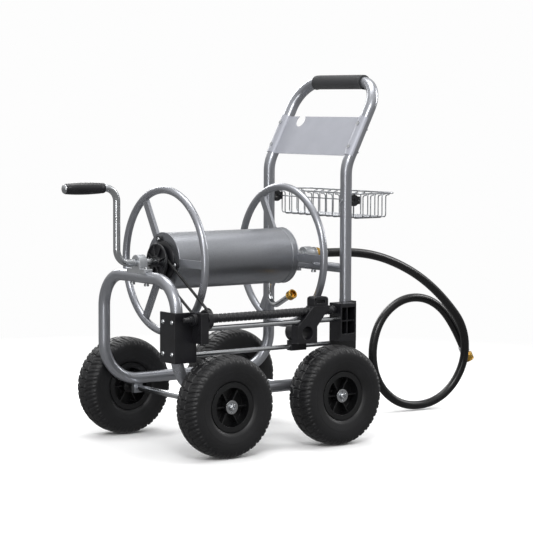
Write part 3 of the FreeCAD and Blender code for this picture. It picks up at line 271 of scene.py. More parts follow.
def makeBlack(name, look):
    material, tree, shader, coords = newMaterial(name)
    grain = noise(tree, coords, look["grainMm"], 4.0, 0.6)
    patches = noise(tree, coords, 40.0)
    ground = mixColours(tree, spread(tree, patches, 0.0, 1.0), look["dark"], look["light"])
    rounded = roundedNormal(tree, mouldedEdgeMm)
    tree.links.new(mixColours(tree, edgeWear(tree, rounded), ground, look["edge"]),
                   shader.inputs["Base Color"])
    tree.links.new(spread(tree, grain, look["low"], look["high"]), shader.inputs["Roughness"])
    tree.links.new(bump(tree, grain, look["grain"], 0.08, rounded), shader.inputs["Normal"])
    return material


# closed-cell foam of the grip: soft pores, their bottoms darkened with painted shade
foamLook = {"dark": "#111112", "light": "#26272A", "poreMm": 1.3}


def makeFoam(look):
    material, tree, shader, coords = newMaterial("foam")
    pores = addNode(tree, "ShaderNodeTexVoronoi", {"Vector": coords, "Scale": 1 / (look["poreMm"] * mm)})
    depth = spread(tree, pores.outputs["Distance"], 0.0, 1.0, 0.1, 0.6)
    # colour runs from dark at the pores' bottoms to light between them: painted shade in the pits
    tree.links.new(mixColours(tree, depth, look["dark"], look["light"]), shader.inputs["Base Color"])
    tree.links.new(spread(tree, depth, 0.7, 0.9, 0.0, 1.0), shader.inputs["Roughness"])
    tree.links.new(bump(tree, depth, 0.5, 0.25), shader.inputs["Normal"])
    shader.inputs["Sheen Weight"].default_value = 0.15
    return material


framePaint = makeFramePaint(framePaintLook)
drumPaint = makeDrumPaint(drumPaintLook)
panelPaint = makePanelPaint(panelPaintLook)
castGrey = makeCastGrey(castGreyLook)
wireSteel, zincSteel, brightSteel = (makeSteel(name, look) for name, look in steelLooks.items())
brass = makeBrass(brassLook)
blackPlastic, rimPlastic, tyreRubber, hoseRubber, beltRubber = (
    makeBlack(name, look) for name, look in blackLooks.items())
foam = makeFoam(foamLook)

wheelNames = ("front_left", "front_right", "rear_left", "rear_right")
cadMaterials = {
    framePaint: ["front_hoop", "side_tube_left", "side_tube_right", "handle_bow", "rear_cross_brace",
                 "floor_cross_brace", "axle_brackets", "reel_ring_front", "ring_spokes_front",
                 "reel_ring_rear", "ring_spokes_rear"],
    drumPaint: ["drum_shell", "drum_cap_front", "drum_cap_rear"],
    panelPaint: ["tool_panel"],
    castGrey: ["front_bearing_block", "rear_bearing_block", "inlet_swivel"],
    wireSteel: ["basket_rim", "basket_wires"],
    zincSteel: ["crank_arm", "front_axle", "rear_axle", "axle_washers", "cotter_pins", "bearing_bolts",
                "clamp_bolts", "tube_bolts", "axle_sleeves", "guide_rod_upper", "guide_rod_lower"],
    brightSteel: ["grip_end_cap", "water_tube", "outlet_pipe", "hose_ferrules"],
    brass: ["swivel_nut", "hose_connector", "outlet_coupling"],
    blackPlastic: ["guide_bracket_front", "pulley_box", "guide_bracket_rear", "basket_clips", "hub_pulley",
                   "crank_grip", "lead_screw", "screw_pulley", "screw_collar", "hose_guide", "pawl_cap"],
    rimPlastic: ["rim_" + name for name in wheelNames],
    tyreRubber: ["tyre_" + name for name in wheelNames],
    hoseRubber: ["leader_hose"],
    beltRubber: ["drive_belt"],
    foam: ["foam_grip"],
}
for material, names in cadMaterials.items():
    for name in names:
        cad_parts[name].data.materials.clear()
        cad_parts[name].data.materials.append(material)
print("materials set")

# rounded edges
roundedEdges = {
    0.8: ["guide_bracket_rear", "basket_clips", "hose_guide"],
    1.5: ["guide_bracket_front", "pulley_box", "pawl_cap", "front_bearing_block", "rear_bearing_block"],
}
edgeCut = {"weldMm": 0.02, "steps": 3, "fromDegrees": 50}


def roundEdges(name, widthMm, settings):
    # the loose triangles are joined first, so that only real edges are cut
    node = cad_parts[name]
    weld = node.modifiers.new("weld", "WELD")
    weld.merge_threshold = settings["weldMm"] * mm
    bevel = node.modifiers.new("round", "BEVEL")
    bevel.width = widthMm * mm
    bevel.segments = settings["steps"]
    bevel.limit_method = "ANGLE"
    bevel.angle_limit = math.radians(settings["fromDegrees"])
    bevel.use_clamp_overlap = False


for edgeWidthMm, names in roundedEdges.items():
    for name in names:
        roundEdges(name, edgeWidthMm, edgeCut)
print("edges rounded")


# mesh helpers
def gridFaces(rows, columns, wrapRows, wrapColumns):
    row = np.arange(rows if wrapRows else rows - 1)
    column = np.arange(columns if wrapColumns else columns - 1)
    row, column = (a.ravel() for a in np.meshgrid(row, column, indexing="ij"))
    nextRow, nextColumn = (row + 1) % rows, (column + 1) % columns
    return np.stack([row * columns + column, row * columns + nextColumn,
                     nextRow * columns + nextColumn, nextRow * columns + column], axis=1)


def signedVolume(points, faces):
    a, b, c, d = (points[faces[:, i]] for i in range(4))
    return np.einsum("ij,ij->i", a, np.cross(b, c)).sum() + np.einsum("ij,ij->i", a, np.cross(c, d)).sum()


def solidFromGrid(name, grid, material, body, wrapRows=False, sharpAngle=35):
    # rows run along the piece and columns round it; open ends get a cap each
    rows, columns = grid.shape[:2]
    points = grid.reshape(-1, 3)
    quads = gridFaces(rows, columns, wrapRows, True)
    middle = points.mean(axis=0)
    inward = signedVolume(points - middle, quads) < 0
    faces = quads[:, ::-1].tolist() if inward else quads.tolist()
    if not wrapRows:
        first = list(range(columns))
        last = list(range((rows - 1) * columns, rows * columns))
        faces += [first, last[::-1]] if inward else [first[::-1], last]
    mesh = bpy.data.meshes.new(name)
    mesh.from_pydata(points.tolist(), [], faces)
    mesh.polygons.foreach_set("use_smooth", [True] * len(mesh.polygons))
    mesh.set_sharp_from_angle(angle=math.radians(sharpAngle))
    mesh.materials.append(material)
    piece = bpy.data.objects.new(name, mesh)
    bpy.context.scene.collection.objects.link(piece)
    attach(piece, body)
    return piece


def softened(corners, radius, steps=4, closed=True):
    # each corner becomes a short curve of that reach, or less where its sides are short
    corners = np.asarray(corners, float)
    if radius == 0:
        return corners
    count = len(corners)
    points = []
    for i, corner in enumerate(corners):
        if not closed and i in (0, count - 1):
            points.append(corner)
            continue
        before, after = corners[i - 1] - corner, corners[(i + 1) % count] - corner
        back, ahead = np.linalg.norm(before), np.linalg.norm(after)
        if np.dot(before, after) / (back * ahead) < -0.94:  # a turn under 20 degrees stays one point
            points.append(corner)
            continue
        reach = min(radius, 0.45 * back, 0.45 * ahead)
        start = corner + before / back * reach
        end = corner + after / ahead * reach
        for t in np.linspace(0, 1, steps + 1):
            points.append((1 - t) ** 2 * start + 2 * t * (1 - t) * corner + t ** 2 * end)
    return np.array(points)


def axesFor(direction):
    ahead = Vector(direction).normalized()
    side = ahead.orthogonal().normalized()
    return np.array(ahead), np.array(side), np.array(ahead.cross(side))


def turnedGrid(profile, centre, direction, segments, swell=None):
    # point = centre + along * direction + (radius + swell) * (cos a * side + sin a * other)
    ahead, side, other = axesFor(direction)
    radius, along = profile[:, 0, None], profile[:, 1, None]
    angle = np.linspace(0, 2 * math.pi, segments, endpoint=False)[None, :]
    if swell is not None:
        radius = radius + swell(angle, along)
    radius = radius + 0 * angle
    along = along + 0 * angle
    ring = np.cos(angle)[..., None] * side + np.sin(angle)[..., None] * other
    return np.array(centre) + along[..., None] * ahead + radius[..., None] * ring


def turnedPiece(name, profileMm, centre, direction, material, body, segments=96, soften=0.4,
                ring=False, swell=None, sharpAngle=35):
    profile = softened(profileMm, soften, closed=ring) * mm
    grid = turnedGrid(profile, centre, direction, segments, swell)
    return solidFromGrid(name, grid, material, body, wrapRows=ring, sharpAngle=sharpAngle)


def slabPiece(name, outlineMm, thicknessMm, place, across, up, material, body, bevelMm=0.6, cornerMm=2):
    # an outline in the plane of across and up, thickened along their cross product, with rounded rims
    outline = softened(outlineMm, cornerMm, 5) * mm
    ahead = outline - np.roll(outline, 1, axis=0)
    behind = np.roll(ahead, -1, axis=0)
    tangent = sum(side / np.linalg.norm(side, axis=1)[:, None] for side in (ahead, behind))
    normal = np.stack([tangent[:, 1], -tangent[:, 0]], axis=1)
    normal /= np.linalg.norm(normal, axis=1)[:, None]
    onward = np.roll(outline, -1, axis=0)
    twiceArea = np.sum(outline[:, 0] * onward[:, 1] - outline[:, 1] * onward[:, 0])
    normal *= math.copysign(1, twiceArea)
    bevel, thickness = bevelMm * mm, thicknessMm * mm
    turn = np.linspace(0, math.pi / 2, 5)
    inset = np.concatenate([1 - np.sin(turn), (1 - np.sin(turn))[::-1]]) * bevel
    height = np.concatenate([bevel * (1 - np.cos(turn)), thickness - (bevel * (1 - np.cos(turn)))[::-1]])
    across, up = np.array(Vector(across).normalized()), np.array(Vector(up).normalized())
    out = np.cross(across, up)
    flat = outline[None] - normal[None] * inset[:, None, None]
    grid = np.array(place) + flat[..., :1] * across + flat[..., 1:] * up + height[:, None, None] * out
    return solidFromGrid(name, grid, material, body)


# leader hose
# The line is given point by point: out of the ferrule, one wide loop that rests on the floor, and the loose
# end.
hose = {
    "diameter": 0.0235,
    "points": [(0.316, 0, 0.4678), (0.396, 0, 0.4678), (0.492, -0.004, 0.454), (0.594, 0.007, 0.420),
               (0.690, 0.022, 0.373), (0.778, 0.037, 0.311), (0.855, 0.048, 0.236), (0.876, 0.059, 0.145),
               (0.844, 0.072, 0.064), (0.771, 0.083, 0.014), (0.668, 0.092, 0.014), (0.589, 0.100, 0.072),
               (0.562, 0.106, 0.166), (0.595, 0.110, 0.264), (0.679, 0.110, 0.320), (0.775, 0.104, 0.315),
               (0.849, 0.094, 0.253), (0.889, 0.088, 0.171)],
}


def curveLength(curveObject):
    # summed along the bare centreline
    line = curveObject.data.copy()
    line.bevel_depth = 0
    probe = bpy.data.objects.new("probe", line)
    bpy.context.scene.collection.objects.link(probe)
    bpy.context.view_layer.update()
    mesh = probe.evaluated_get(bpy.context.evaluated_depsgraph_get()).to_mesh()
    places = np.array([v.co for v in mesh.vertices])
    probe.to_mesh_clear()
    bpy.data.objects.remove(probe)
    return float(np.linalg.norm(np.diff(places, axis=0), axis=1).sum())


def makeHose(settings):
    curve = bpy.data.curves.new("hoseCurve", "CURVE")
    curve.dimensions = "3D"
    curve.resolution_u = 24
    curve.bevel_depth = settings["diameter"] / 2
    curve.bevel_resolution = 12
    curve.use_fill_caps = True
    line = curve.splines.new("NURBS")
    points = [fromWheelbase(point) for point in settings["points"]]
    line.points.add(len(points) - 1)
    for place, point in zip(line.points, points):
        place.co = (*point, 1)
    line.order_u = 3
    line.use_endpoint_u = True
    curve.materials.append(hoseRubber)
    piece = bpy.data.objects.new("leaderHose", curve)
    bpy.context.scene.collection.objects.link(piece)
    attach(piece, "frame")
    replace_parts(piece, "leader_hose")
    return piece, points


leaderHose, hosePoints = makeHose(hose)
hoseLength = curveLength(leaderHose)
print(f"hose set, {hoseLength:.3f} m long")

# hose fittings
hoseOut = (hosePoints[-1] - hosePoints[-2]).normalized()
hoseTip = hosePoints[-1]
ferrule = {"outer": 14.0, "inner": 11.85, "length": 18.0, "crimps": (4.5, 9.0, 13.5), "crimpDepth": 0.9,
           "crimpReach": 0.9}
connector = {
    "lobes": 10, "lobeDepth": 0.9, "lobesFrom": 13.4, "lobesTo": 24.2,
    "profile": [(6, 0), (12, 0), (12, 3), (11, 3.5), (11, 6.5), (12, 7), (12, 8), (15.6, 8), (17, 9),
                (17, 12), (16.3, 12.6), (17, 13.2), (17, 24.4), (16.3, 25), (17, 25.6), (17, 27.2),
                (16.2, 28), (13.6, 28), (13.2, 27.6), (13.2, 22), (12.6, 21.4), (13.2, 20.8),
                (13.2, 14), (5, 14)],
}
swivelNut = {
    "lobes": 12, "lobeDepth": 0.9, "lobesFrom": 2.8, "lobesTo": 10.8, "length": 24,
    "profile": [(8, 0), (14.6, 0), (15.6, 0.8), (15.6, 2.2), (15.0, 2.6), (15.6, 3), (15.6, 10.6), (15.0, 11),
                (14.6, 12), (13, 12.6), (13, 15), (12.2, 15.6), (12.2, 17.4), (13, 18), (13, 24), (8, 24)],
}


def makeFerrule(name, start, direction, lengthMm, settings):
    # crimped sleeve: grooves squeezed into a short tube
    count = 60
    along = np.linspace(0.6, lengthMm - 0.6, count)
    places = [place * lengthMm / settings["length"] for place in settings["crimps"]]
    dip = sum(np.exp(-((along - place) / settings["crimpReach"]) ** 2) for place in places)
    outer = settings["outer"] - settings["crimpDepth"] * dip
    profile = ([(settings["inner"], 0), (settings["outer"] - 0.6, 0)] + list(zip(outer, along))
               + [(settings["outer"] - 0.6, lengthMm), (settings["inner"], lengthMm)])
    return turnedPiece(name, profile, start, direction, brightSteel, "frame", ring=True,
                       soften=0.3)


def lobed(settings):
    # shallow rounded flutes: depth * (|sin(lobes a / 2)|^0.5 - 1) between two places along the axis
    def swell(angle, along):
        within = (along > settings["lobesFrom"] * mm) & (along < settings["lobesTo"] * mm)
        depth = np.where(within, settings["lobeDepth"] * mm, 0)
        return -depth * (1 - np.abs(np.sin(settings["lobes"] * angle / 2)) ** 0.5)
    return swell


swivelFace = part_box("swivel_nut")[0].x
nutCentre = (swivelFace, 0, hosePoints[0].z)
swivelNutPiece = turnedPiece("swivelNut", swivelNut["profile"], nutCentre, (1, 0, 0), brass, "frame",
                             segments=144, swell=lobed(swivelNut))
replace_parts(swivelNutPiece, "swivel_nut")
inletEnd = (swivelFace + swivelNut["length"] * mm, 0, hosePoints[0].z)
firstFerrule = makeFerrule("hoseFerruleInlet", inletEnd, (1, 0, 0), 12, ferrule)
looseFerrule = makeFerrule("hoseFerruleLoose", hoseTip, hoseOut, ferrule["length"], ferrule)
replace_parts(firstFerrule, "hose_ferrules")

ferruleEnd = hoseTip + hoseOut * ferrule["length"] * mm
connectorPiece = turnedPiece("hoseConnector", connector["profile"], ferruleEnd, hoseOut, brass, "frame",
                             segments=160, soften=0.3, swell=lobed(connector))
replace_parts(connectorPiece, "hose_connector")
print("hose fittings set")

# floor and light
studio = {"floorColour": "#F1F1F1", "worldColour": "#FDFDFD", "zenith": 1.0, "horizon": 0.3,
          "brightFrom": 0.9, "fadeFrom": 0.9, "fadeTo": 2.4, "mirrored": 0.25, "reach": 14, "toneMm": 900.0}


def makeFloor(settings):
    mesh = bpy.data.meshes.new("floor")
    reach = settings["reach"]
    corners = [(-reach, -reach, 0), (reach, -reach, 0), (reach, reach, 0), (-reach, reach, 0)]
    mesh.from_pydata(corners, [], [(0, 1, 2, 3)])
    floor = bpy.data.objects.new("floor", mesh)
    bpy.context.scene.collection.objects.link(floor)
    material, tree, shader, coords = newMaterial("floorPaint")
    tone = noise(tree, coords, settings["toneMm"])
    tree.links.new(mixColours(tree, tone, settings["floorColour"], settings["worldColour"]),
                   shader.inputs["Base Color"])
    shader.inputs["Roughness"].default_value = 0.9
    # the floor's own shading near the cart runs into one even tone further out, and is dim in the metal
    away = addNode(tree, "ShaderNodeVectorMath", {0: coords}, operation="LENGTH").outputs["Value"]
    even = addNode(tree, "ShaderNodeEmission", {"Color": linearColour(settings["worldColour"])})
    path = addNode(tree, "ShaderNodeLightPath")
    tree.links.new(spread(tree, path.outputs["Is Camera Ray"], settings["mirrored"], 1.0, 0.0, 1.0),
                   even.inputs["Strength"])
    share = addNode(tree, "ShaderNodeMath", {
        0: spread(tree, away, 0.0, 1.0, settings["fadeFrom"], settings["fadeTo"]),
        1: path.outputs["Is Glossy Ray"]}, operation="MAXIMUM")
    fade = addNode(tree, "ShaderNodeMixShader", {
        0: share.outputs["Value"], 1: shader.outputs["BSDF"], 2: even.outputs["Emission"]})
    tree.links.new(fade.outputs["Shader"], tree.nodes["Material Output"].inputs["Surface"])
    mesh.materials.append(material)


def makeSky(settings):
    # lighter overhead and dim at the horizon, so that tubes get dark flanks; plain and pale to the camera
    world = bpy.data.worlds.new("studio")
    world.use_nodes = True
    sky = world.node_tree
    background = sky.nodes["Background"]
    background.inputs["Color"].default_value = linearColour(settings["worldColour"])
    direction = addNode(sky, "ShaderNodeTexCoord").outputs["Generated"]
    rise = addNode(sky, "ShaderNodeSeparateXYZ", {0: direction}).outputs["Z"]
    height = spread(sky, rise, settings["horizon"], settings["zenith"], 0.0, settings["brightFrom"])
    seen = addNode(sky, "ShaderNodeLightPath").outputs["Is Camera Ray"]
    strength = addNode(sky, "ShaderNodeMix", {"Factor": seen, "A": height, "B": 1.0})
    sky.links.new(strength.outputs["Result"], background.inputs["Strength"])
    bpy.context.scene.world = world


def addLight(name, place, target, width, height, power):
    data = bpy.data.lights.new(name, "AREA")
    data.shape = "RECTANGLE"
    data.size, data.size_y = width, height
    data.energy = power
    light = bpy.data.objects.new(name, data)
    bpy.context.scene.collection.objects.link(light)
    light.location = place
    light.rotation_mode = "QUATERNION"
    light.rotation_quaternion = (Vector(target) - Vector(place)).to_track_quat("-Z", "Y")


makeFloor(studio)
makeSky(studio)
bpy.context.scene.view_settings.view_transform = "Standard"  # plain pale floor, true paint colours
cartMiddle = (0, 0, 0.45)
# place, width, height, watts
lamps = {
    "keyLight": ((-1.6, -2.6, 2.8), 1.2, 0.9, 55),
    "sideLight": ((-2.9, -2.3, 0.9), 0.5, 2.4, 30),
    "topLight": ((0.3, 0.4, 3.0), 1.8, 1.2, 34),
    "rimLight": ((2.6, -0.6, 1.7), 0.6, 1.6, 24),
    "backLight": ((0.8, 2.8, 1.9), 1.6, 0.9, 28),
}
for name, (place, width, height, power) in lamps.items():
    addLight(name, place, cartMiddle, width, height, power)
print("studio set")

# tyres
tyre = {
    "blocks": 34, "stepsRound": 510, "depth": 2.8,
    "shoulder": (109, 117), "sideRing": 88,
    "outer": [(-28.4, 53.0), (-28.5, 61.9), (-33.4, 63.6), (-38.0, 71.0), (-41.0, 84.0), (-42.2, 97.0),
              (-41.8, 106.0), (-39.3, 114.8), (-35.6, 119.6), (-29.0, 123.2), (-16.0, 126.2), (0.0, 126.9)],
    "inner": [(21.6, 53.0), (21.8, 67.0), (33.0, 82.0), (34.0, 105.0), (16.0, 118.0), (-16.0, 118.0),
              (-34.0, 105.0), (-33.0, 82.0), (-21.8, 67.0), (-21.6, 53.0)],
}


def smoothStep(value, low, high):
    share = np.clip((value - low) / (high - low), 0, 1)
    return share * share * (3 - 2 * share)


def tyreSection(settings):
    # points every 1.2 mm over the outer side; the inside keeps its listed points
    half = np.array(settings["outer"])
    full = np.concatenate([half, (half * (-1, 1))[-2::-1]])
    reach = np.concatenate([[0], np.cumsum(np.linalg.norm(np.diff(full, axis=0), axis=1))])
    evenly = np.linspace(0, reach[-1], int(reach[-1] / 1.2))
    outer = np.stack([np.interp(evenly, reach, full[:, i]) for i in (0, 1)], axis=1)
    kernel = np.array([1, 2, 3, 2, 1]) / 9
    for _ in range(2):
        smooth = np.stack([np.convolve(outer[:, i], kernel, mode="same") for i in (0, 1)], axis=1)
        outer[4:-4] = smooth[4:-4]
    return outer, np.array(settings["inner"])


def treadDepth(angle, y, settings):
    # 0 on a block and 1 in a groove; u counts blocks round the tyre, and a triangle wave bends the edges
    u = angle * settings["blocks"] / (2 * math.pi)
    pitch = 2 * math.pi * 126 / settings["blocks"]
    away = np.abs(y)
    side = np.sign(y)
    zigzag = np.abs((u % 1.0) - 0.5) * 4 - 1
    centreEdge = 9.5 + 1.6 * zigzag
    ringGroove = 1 - smoothStep(np.abs(away - centreEdge - 1.4), 0.9, 1.9)
    centrePhase = np.abs(((u + 0.10 * np.abs(((y / 7.0) % 2) - 1)) % 1.0) - 0.5) * pitch
    sipe = (1 - smoothStep(pitch / 2 - centrePhase, 1.1, 2.0)) * (away < centreEdge + 1)
    lugPhase = np.abs(((u + 0.25 * side + 0.012 * (away - 12)) % 1.0) - 0.5) * pitch
    lugWidth = 1.5 + 0.05 * (away - 12)
    lugGroove = (1 - smoothStep(pitch / 2 - lugPhase, lugWidth, lugWidth + 1.3)) * (away >= centreEdge + 1)
    notchPhase = np.abs(((u + 0.5 + 0.25 * side + 0.012 * (away - 12)) % 1.0) - 0.5) * pitch
    notch = (1 - smoothStep(pitch / 2 - notchPhase, 0.9, 1.7)) * smoothStep(away, 21, 23) * 0.6
    return np.maximum.reduce([ringGroove, sipe, lugGroove, notch])


def makeTyre(wheel, settings):
    low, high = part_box("tyre_" + wheel)
    centre = (low + high) / 2
    outer, inner = tyreSection(settings)
    section = np.concatenate([outer, inner])
    angle = np.linspace(0, 2 * math.pi, settings["stepsRound"], endpoint=False)[:, None]
    y, radius = section[None, :, 0], section[None, :, 1]
    isOuter = np.arange(len(section))[None] < len(outer)
    # the tread runs out between the shoulder's two radii, and one raised ring goes round the sidewall
    share = smoothStep(radius, *settings["shoulder"]) * isOuter
    depth = settings["depth"] * share * treadDepth(angle, y + 0 * angle, settings)
    lean = smoothStep(np.abs(y), 26, 42)
    ring = 0.3 * np.exp(-((radius - settings["sideRing"]) / 1.2) ** 2) * isOuter
    newRadius = radius - depth * (1 - 0.6 * lean)
    newY = y - np.sign(y) * depth * 0.75 * lean + np.sign(y) * ring
    grid = np.stack([newRadius * np.cos(angle), newY + 0 * angle, newRadius * np.sin(angle)], axis=2) * mm
    piece = solidFromGrid("tyre_" + wheel + "_tread", grid + np.array(centre), tyreRubber, "wheel_" + wheel,
                          wrapRows=True, sharpAngle=50)
    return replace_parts(piece, "tyre_" + wheel)


for wheel in wheelNames:
    makeTyre(wheel, tyre)
print("tyres set")

# axles, washers and valves
axle = {"radius": 8.0, "hollow": 4.6, "hollowDepth": 7.0, "chamfer": 0.8}
washer = {"outer": 17.0, "inner": 8.3, "thick": 2.5}
valve = {"radius": 3.0, "length": 17.0, "at": 43.0}


def makeAxle(name, settings):
    low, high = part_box(name)
    half = (high.y - low.y) / 2 / mm
    end = [(settings["hollow"], half - settings["hollowDepth"]), (settings["hollow"], half),
           (settings["radius"] - settings["chamfer"], half), (settings["radius"], half - settings["chamfer"])]
    profile = [(0.4, half - settings["hollowDepth"])] + end
    profile = [(r, -a) for r, a in profile] + profile[::-1]
    piece = turnedPiece(name + "Bar", profile, (low + high) / 2, (0, 1, 0), zincSteel, "frame",
                        segments=64, soften=0.3)
    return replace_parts(piece, name)


def makeWasher(name, centre, settings):
    half = settings["thick"] / 2
    profile = [(settings["inner"], -half), (settings["outer"], -half), (settings["outer"], half),
               (settings["inner"] + 1.2, half), (settings["inner"], half - 0.7)]
    return turnedPiece(name, profile, centre, (0, 1, 0), zincSteel, "frame", ring=True,
                       soften=0.6)


def makeValve(wheel, settings):
    # rubber stem and cap standing out of the rim's web, on the outer side
    low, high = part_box("rim_" + wheel)
    centre = (low + high) / 2
    outward = 1 if centre.y > 0 else -1
    base = Vector((centre.x + settings["at"] * mm * math.cos(1.0), centre.y + outward * 2.6 * mm,
                   centre.z + settings["at"] * mm * math.sin(1.0)))
    r, length = settings["radius"], settings["length"]
    profile = [(0.3, 0), (r + 1.2, 0), (r + 0.4, 2), (r, 3), (r, 8), (r + 0.6, 8.3), (r + 0.6, length - 1),
               (r - 0.4, length), (0.3, length)]
    return turnedPiece("valve_" + wheel, profile, base, (0, outward, 0), beltRubber, "wheel_" + wheel,
                       segments=40, soften=0.5)


for name in ("front_axle", "rear_axle"):
    makeAxle(name, axle)
washerLow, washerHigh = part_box("axle_washers")
halfWasher = washer["thick"] / 2 * mm
washerPieces = []
for end, box in (("front", frontAxle), ("rear", rearAxle)):
    centre = (box[0] + box[1]) / 2
    for hand, y in (("left", washerLow.y + halfWasher), ("right", washerHigh.y - halfWasher)):
        washerPieces.append(makeWasher(f"washer_{end}_{hand}", (centre.x, y, centre.z), washer))
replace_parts(washerPieces[0], "axle_washers")
for wheel in wheelNames:
    makeValve(wheel, valve)
print("axles set")

# reel hub and drum edge
reelAxisZ = (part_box("reel_ring_front")[0].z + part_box("reel_ring_front")[1].z) / 2
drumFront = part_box("drum_cap_front")[0].x
hub = {"ribs": 8, "lugs": [(15, 55), (44, 22), (-60, -6)]}
drumBead = {"radius": 71.6, "bead": 1.5}


def onAxis(x):
    return (x, 0, reelAxisZ)


def makeHub(settings):
    # x runs back from the disc's front face: boss, recessed web, rim, belt groove, rear flange
    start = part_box("hub_pulley")[0].x
    profile = [(9.2, 0), (13, 0), (15.5, 2.5), (16.5, 7), (38.5, 7.4), (40.5, 3.4), (44.5, 3.4), (46, 5),
               (46, 9), (22.5, 9.6), (22.5, 16.2), (38, 17), (50, 21.5), (52, 23), (52, 26), (9.2, 26)]
    piece = turnedPiece("reelHub", profile, onAxis(start), (1, 0, 0), blackPlastic, "reel",
                        segments=128, ring=True, soften=0.7)
    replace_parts(piece, "hub_pulley")
    for i in range(settings["ribs"]):
        angle = 2 * math.pi * (i + 0.5) / settings["ribs"]
        out = Vector((0, math.cos(angle), math.sin(angle)))
        place = Vector(onAxis(start + 7.6 * mm)) + out.cross(Vector((1, 0, 0))) * -1.5 * mm
        outline = [(14, 0), (40, 0), (40, 3.6), (17, 6.2), (14, 6.2)]
        slabPiece(f"hubRib_{i}", outline, 3, place, out, (-1, 0, 0), blackPlastic, "reel",
                  bevelMm=0.5, cornerMm=0.8)


def domeBolt(name, base, direction, headRadius, headHeight, material, body, shankMm=0.5):
    # round head with a flange, a dome and a sunk drive hole
    r, h = headRadius, headHeight
    profile = [(0.3, -shankMm), (r * 0.5, -shankMm), (r * 0.5, 0), (r, 0), (r, 0.25 * h),
               (r * 0.86, 0.55 * h), (r * 0.62, 0.88 * h), (r * 0.34, h), (r * 0.30, 0.55 * h),
               (0.3, 0.5 * h)]
    return turnedPiece(name, profile, base, direction, material, body, segments=48, soften=0.35)


def makeLugs(settings):
    for i, (y, up) in enumerate(settings["lugs"]):
        place = Vector(onAxis(drumFront - 0.2 * mm)) + Vector((0, y, up)) * mm
        outline = [(-11, -7), (11, -7), (11, 7), (-11, 7)]
        slabPiece(f"hubLug_{i}", outline, 5, place, (0, 1, 0), (0, 0, -1), blackPlastic, "reel",
                  bevelMm=1.0, cornerMm=6)
        domeBolt(f"hubLugBolt_{i}", place + Vector((-5 * mm, 0, 0)), (-1, 0, 0), 4.8, 3.2, zincSteel, "reel")


def makeDrumBeads(settings):
    # rolled edges where the caps are seamed to the shell: a half-round bead
    turn = np.linspace(0, 2 * math.pi, 20, endpoint=False)
    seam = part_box("drum_shell")
    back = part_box("drum_cap_rear")[1].x
    for name, x in (("front", drumFront + 1.6 * mm), ("seam", seam[1].x), ("back", back - 1.6 * mm)):
        profile = [(settings["radius"] + settings["bead"] * math.sin(t), 1.6 * math.cos(t)) for t in turn]
        turnedPiece("drumBead_" + name, profile, onAxis(x), (1, 0, 0), drumPaint, "reel",
                    segments=160, ring=True, soften=0.0)


makeHub(hub)
makeLugs(hub)
makeDrumBeads(drumBead)
print("hub set")

# lead screw
screw = {"outer": 11.2, "depth": 1.9, "leadMm": 12.5, "smooth": 22.0, "journal": 6.5}


def makeScrew(settings):
    # radius = outer - depth * groove; grooves of both hands wind round, at phases x / lead +- a / 2 pi
    low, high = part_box("lead_screw")
    centreY, centreZ = (low.y + high.y) / 2, (low.z + high.z) / 2
    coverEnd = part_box("pulley_box")[1].x
    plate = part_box("guide_bracket_rear")[0].x
    start, end = coverEnd + 2 * mm, plate - 4 * mm
    along = np.linspace(start, end, 900)
    edge = np.minimum(along - start, end - along)
    angle = np.linspace(0, 2 * math.pi, 72, endpoint=False)
    x = (along - start)[:, None] / mm
    phases = [x / settings["leadMm"] + hand * angle[None] / (2 * math.pi) for hand in (-1, 1)]
    grooves = [1 - smoothStep(np.abs((phase % 1.0) - 0.5), 0.10, 0.24) for phase in phases]
    groove = np.maximum(*grooves) * smoothStep(x, settings["smooth"] - 2, settings["smooth"] + 4)
    radius = settings["outer"] - settings["depth"] * groove
    radius = radius - 1.2 * (1 - smoothStep(edge / mm, 0, 1.5))[:, None]
    journal = settings["journal"]
    xs = np.concatenate([[low.x, low.x + 1 * mm, start - 0.2 * mm, start - 0.1 * mm], along,
                         [end + 0.1 * mm, end + 0.2 * mm, high.x]])
    ends = [[journal - 1, journal, journal, settings["outer"] - 2], [settings["outer"] - 2, journal, journal]]
    radius = np.concatenate([np.repeat(np.array(ends[0])[:, None], 72, 1), radius,
                             np.repeat(np.array(ends[1])[:, None], 72, 1)]) * mm
    y, z = centreY + radius * np.cos(angle), centreZ + radius * np.sin(angle)
    grid = np.stack([xs[:, None] + 0 * radius, y, z], axis=2)
    piece = solidFromGrid("leadScrew", grid, blackPlastic, "lead_screw_body", sharpAngle=50)
    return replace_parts(piece, "lead_screw")


makeScrew(screw)
print("lead screw set")

# crank grip
grip = {"end": 12.4, "belly": 15.0, "bore": 9.1}


def makeGrip(settings):
    # radius = end + (belly - end) * sin^0.8 about a slightly shifted middle, less two rings at each end
    low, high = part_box("crank_grip")
    centre = Vector(((low.x + high.x) / 2, (low.y + high.y) / 2, (low.z + high.z) / 2))
    half = (high.x - low.x) / 2 / mm
    along = np.linspace(-half + 1.2, half - 1.2, 140)
    t = (along + half) / (2 * half)
    radius = settings["end"] + (settings["belly"] - settings["end"]) * np.sin(math.pi * t ** 0.9) ** 0.8
    for place in (-half + 7, -half + 10, half - 10, half - 7):
        radius -= 0.5 * np.exp(-((along - place) / 0.7) ** 2)
    profile = ([(settings["bore"], -half), (radius[0] - 1, -half)] + list(zip(radius, along))
               + [(radius[-1] - 1, half), (settings["bore"], half)])
    piece = turnedPiece("crankGrip", profile, centre, (1, 0, 0), blackPlastic, "crank_grip_body",
                        segments=80, ring=True, soften=0.6)
    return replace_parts(piece, "crank_grip")


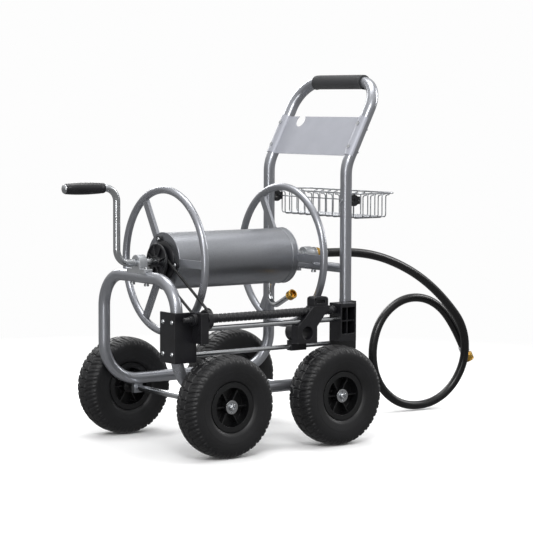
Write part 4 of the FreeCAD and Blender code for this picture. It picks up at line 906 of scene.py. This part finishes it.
def makeGripCap():
    # dome = quarter ellipse
    low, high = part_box("grip_end_cap")
    centre = (high.x, (low.y + high.y) / 2, (low.z + high.z) / 2)
    tall, wide = (high.x - low.x) / mm, (high.y - low.y) / 2 / mm
    turn = np.linspace(0, math.pi / 2 - 0.03, 16)
    profile = [(0.4, 0)] + [(wide * math.cos(t), tall * math.sin(t)) for t in turn]
    piece = turnedPiece("gripEndCap", profile, centre, (-1, 0, 0), brightSteel, "reel",
                        segments=64, soften=0.0)
    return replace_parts(piece, "grip_end_cap")


makeGrip(grip)
makeGripCap()
print("crank grip set")

# outlet coupling
outlet = {"lobes": 12, "lobeDepth": 0.8, "lobesFrom": -4, "lobesTo": 4}
outletRise = math.radians(26)


def makeOutlet(settings):
    way = Vector((0, -math.cos(outletRise), math.sin(outletRise)))
    low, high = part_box("outlet_coupling")
    middle = (low + high) / 2
    profile = [(7.1, -8.5), (11.2, -8.5), (12.5, -7.6), (12.5, -5.4), (11.8, -4.8), (12.5, -4.2), (12.5, 4.2),
               (11.8, 4.8), (12.5, 5.4), (12.5, 7.6), (11.6, 8.5), (9.6, 8.5), (9.2, 8), (9.2, -2),
               (5.2, -2.4), (5.2, -8), (7.1, -8.2)]
    piece = turnedPiece("outletCoupling", profile, middle, way, brass, "reel", segments=144,
                        ring=True, soften=0.3, swell=lobed(settings))
    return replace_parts(piece, "outlet_coupling")


makeOutlet(outlet)
print("outlet coupling set")

# bolts
clampBolt = {"radius": 5.6, "height": 4.0}


def makeClampBolts(settings):
    # front pairs on the bracket's face, rear ones on the clamp's back
    low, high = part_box("clamp_bolts")
    yLow, yHigh = low.y + 5 * mm, high.y - 5 * mm
    rows = (low.z + 5 * mm, high.z - 5 * mm)
    pieces = []
    for i, z in enumerate(rows):
        for j, y in enumerate((yLow, yHigh)):
            base = (low.x + 4 * mm, y, z)
            pieces.append(domeBolt(f"clampBolt_front_{i}_{j}", base, (-1, 0, 0), settings["radius"],
                                   settings["height"], zincSteel, "frame"))
        pieces.append(domeBolt(f"clampBolt_rear_{i}", (high.x - 4 * mm, yHigh, z), (1, 0, 0),
                               settings["radius"], settings["height"], zincSteel, "frame"))
    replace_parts(pieces[0], "clamp_bolts")


makeClampBolts(clampBolt)
print("bolts set")
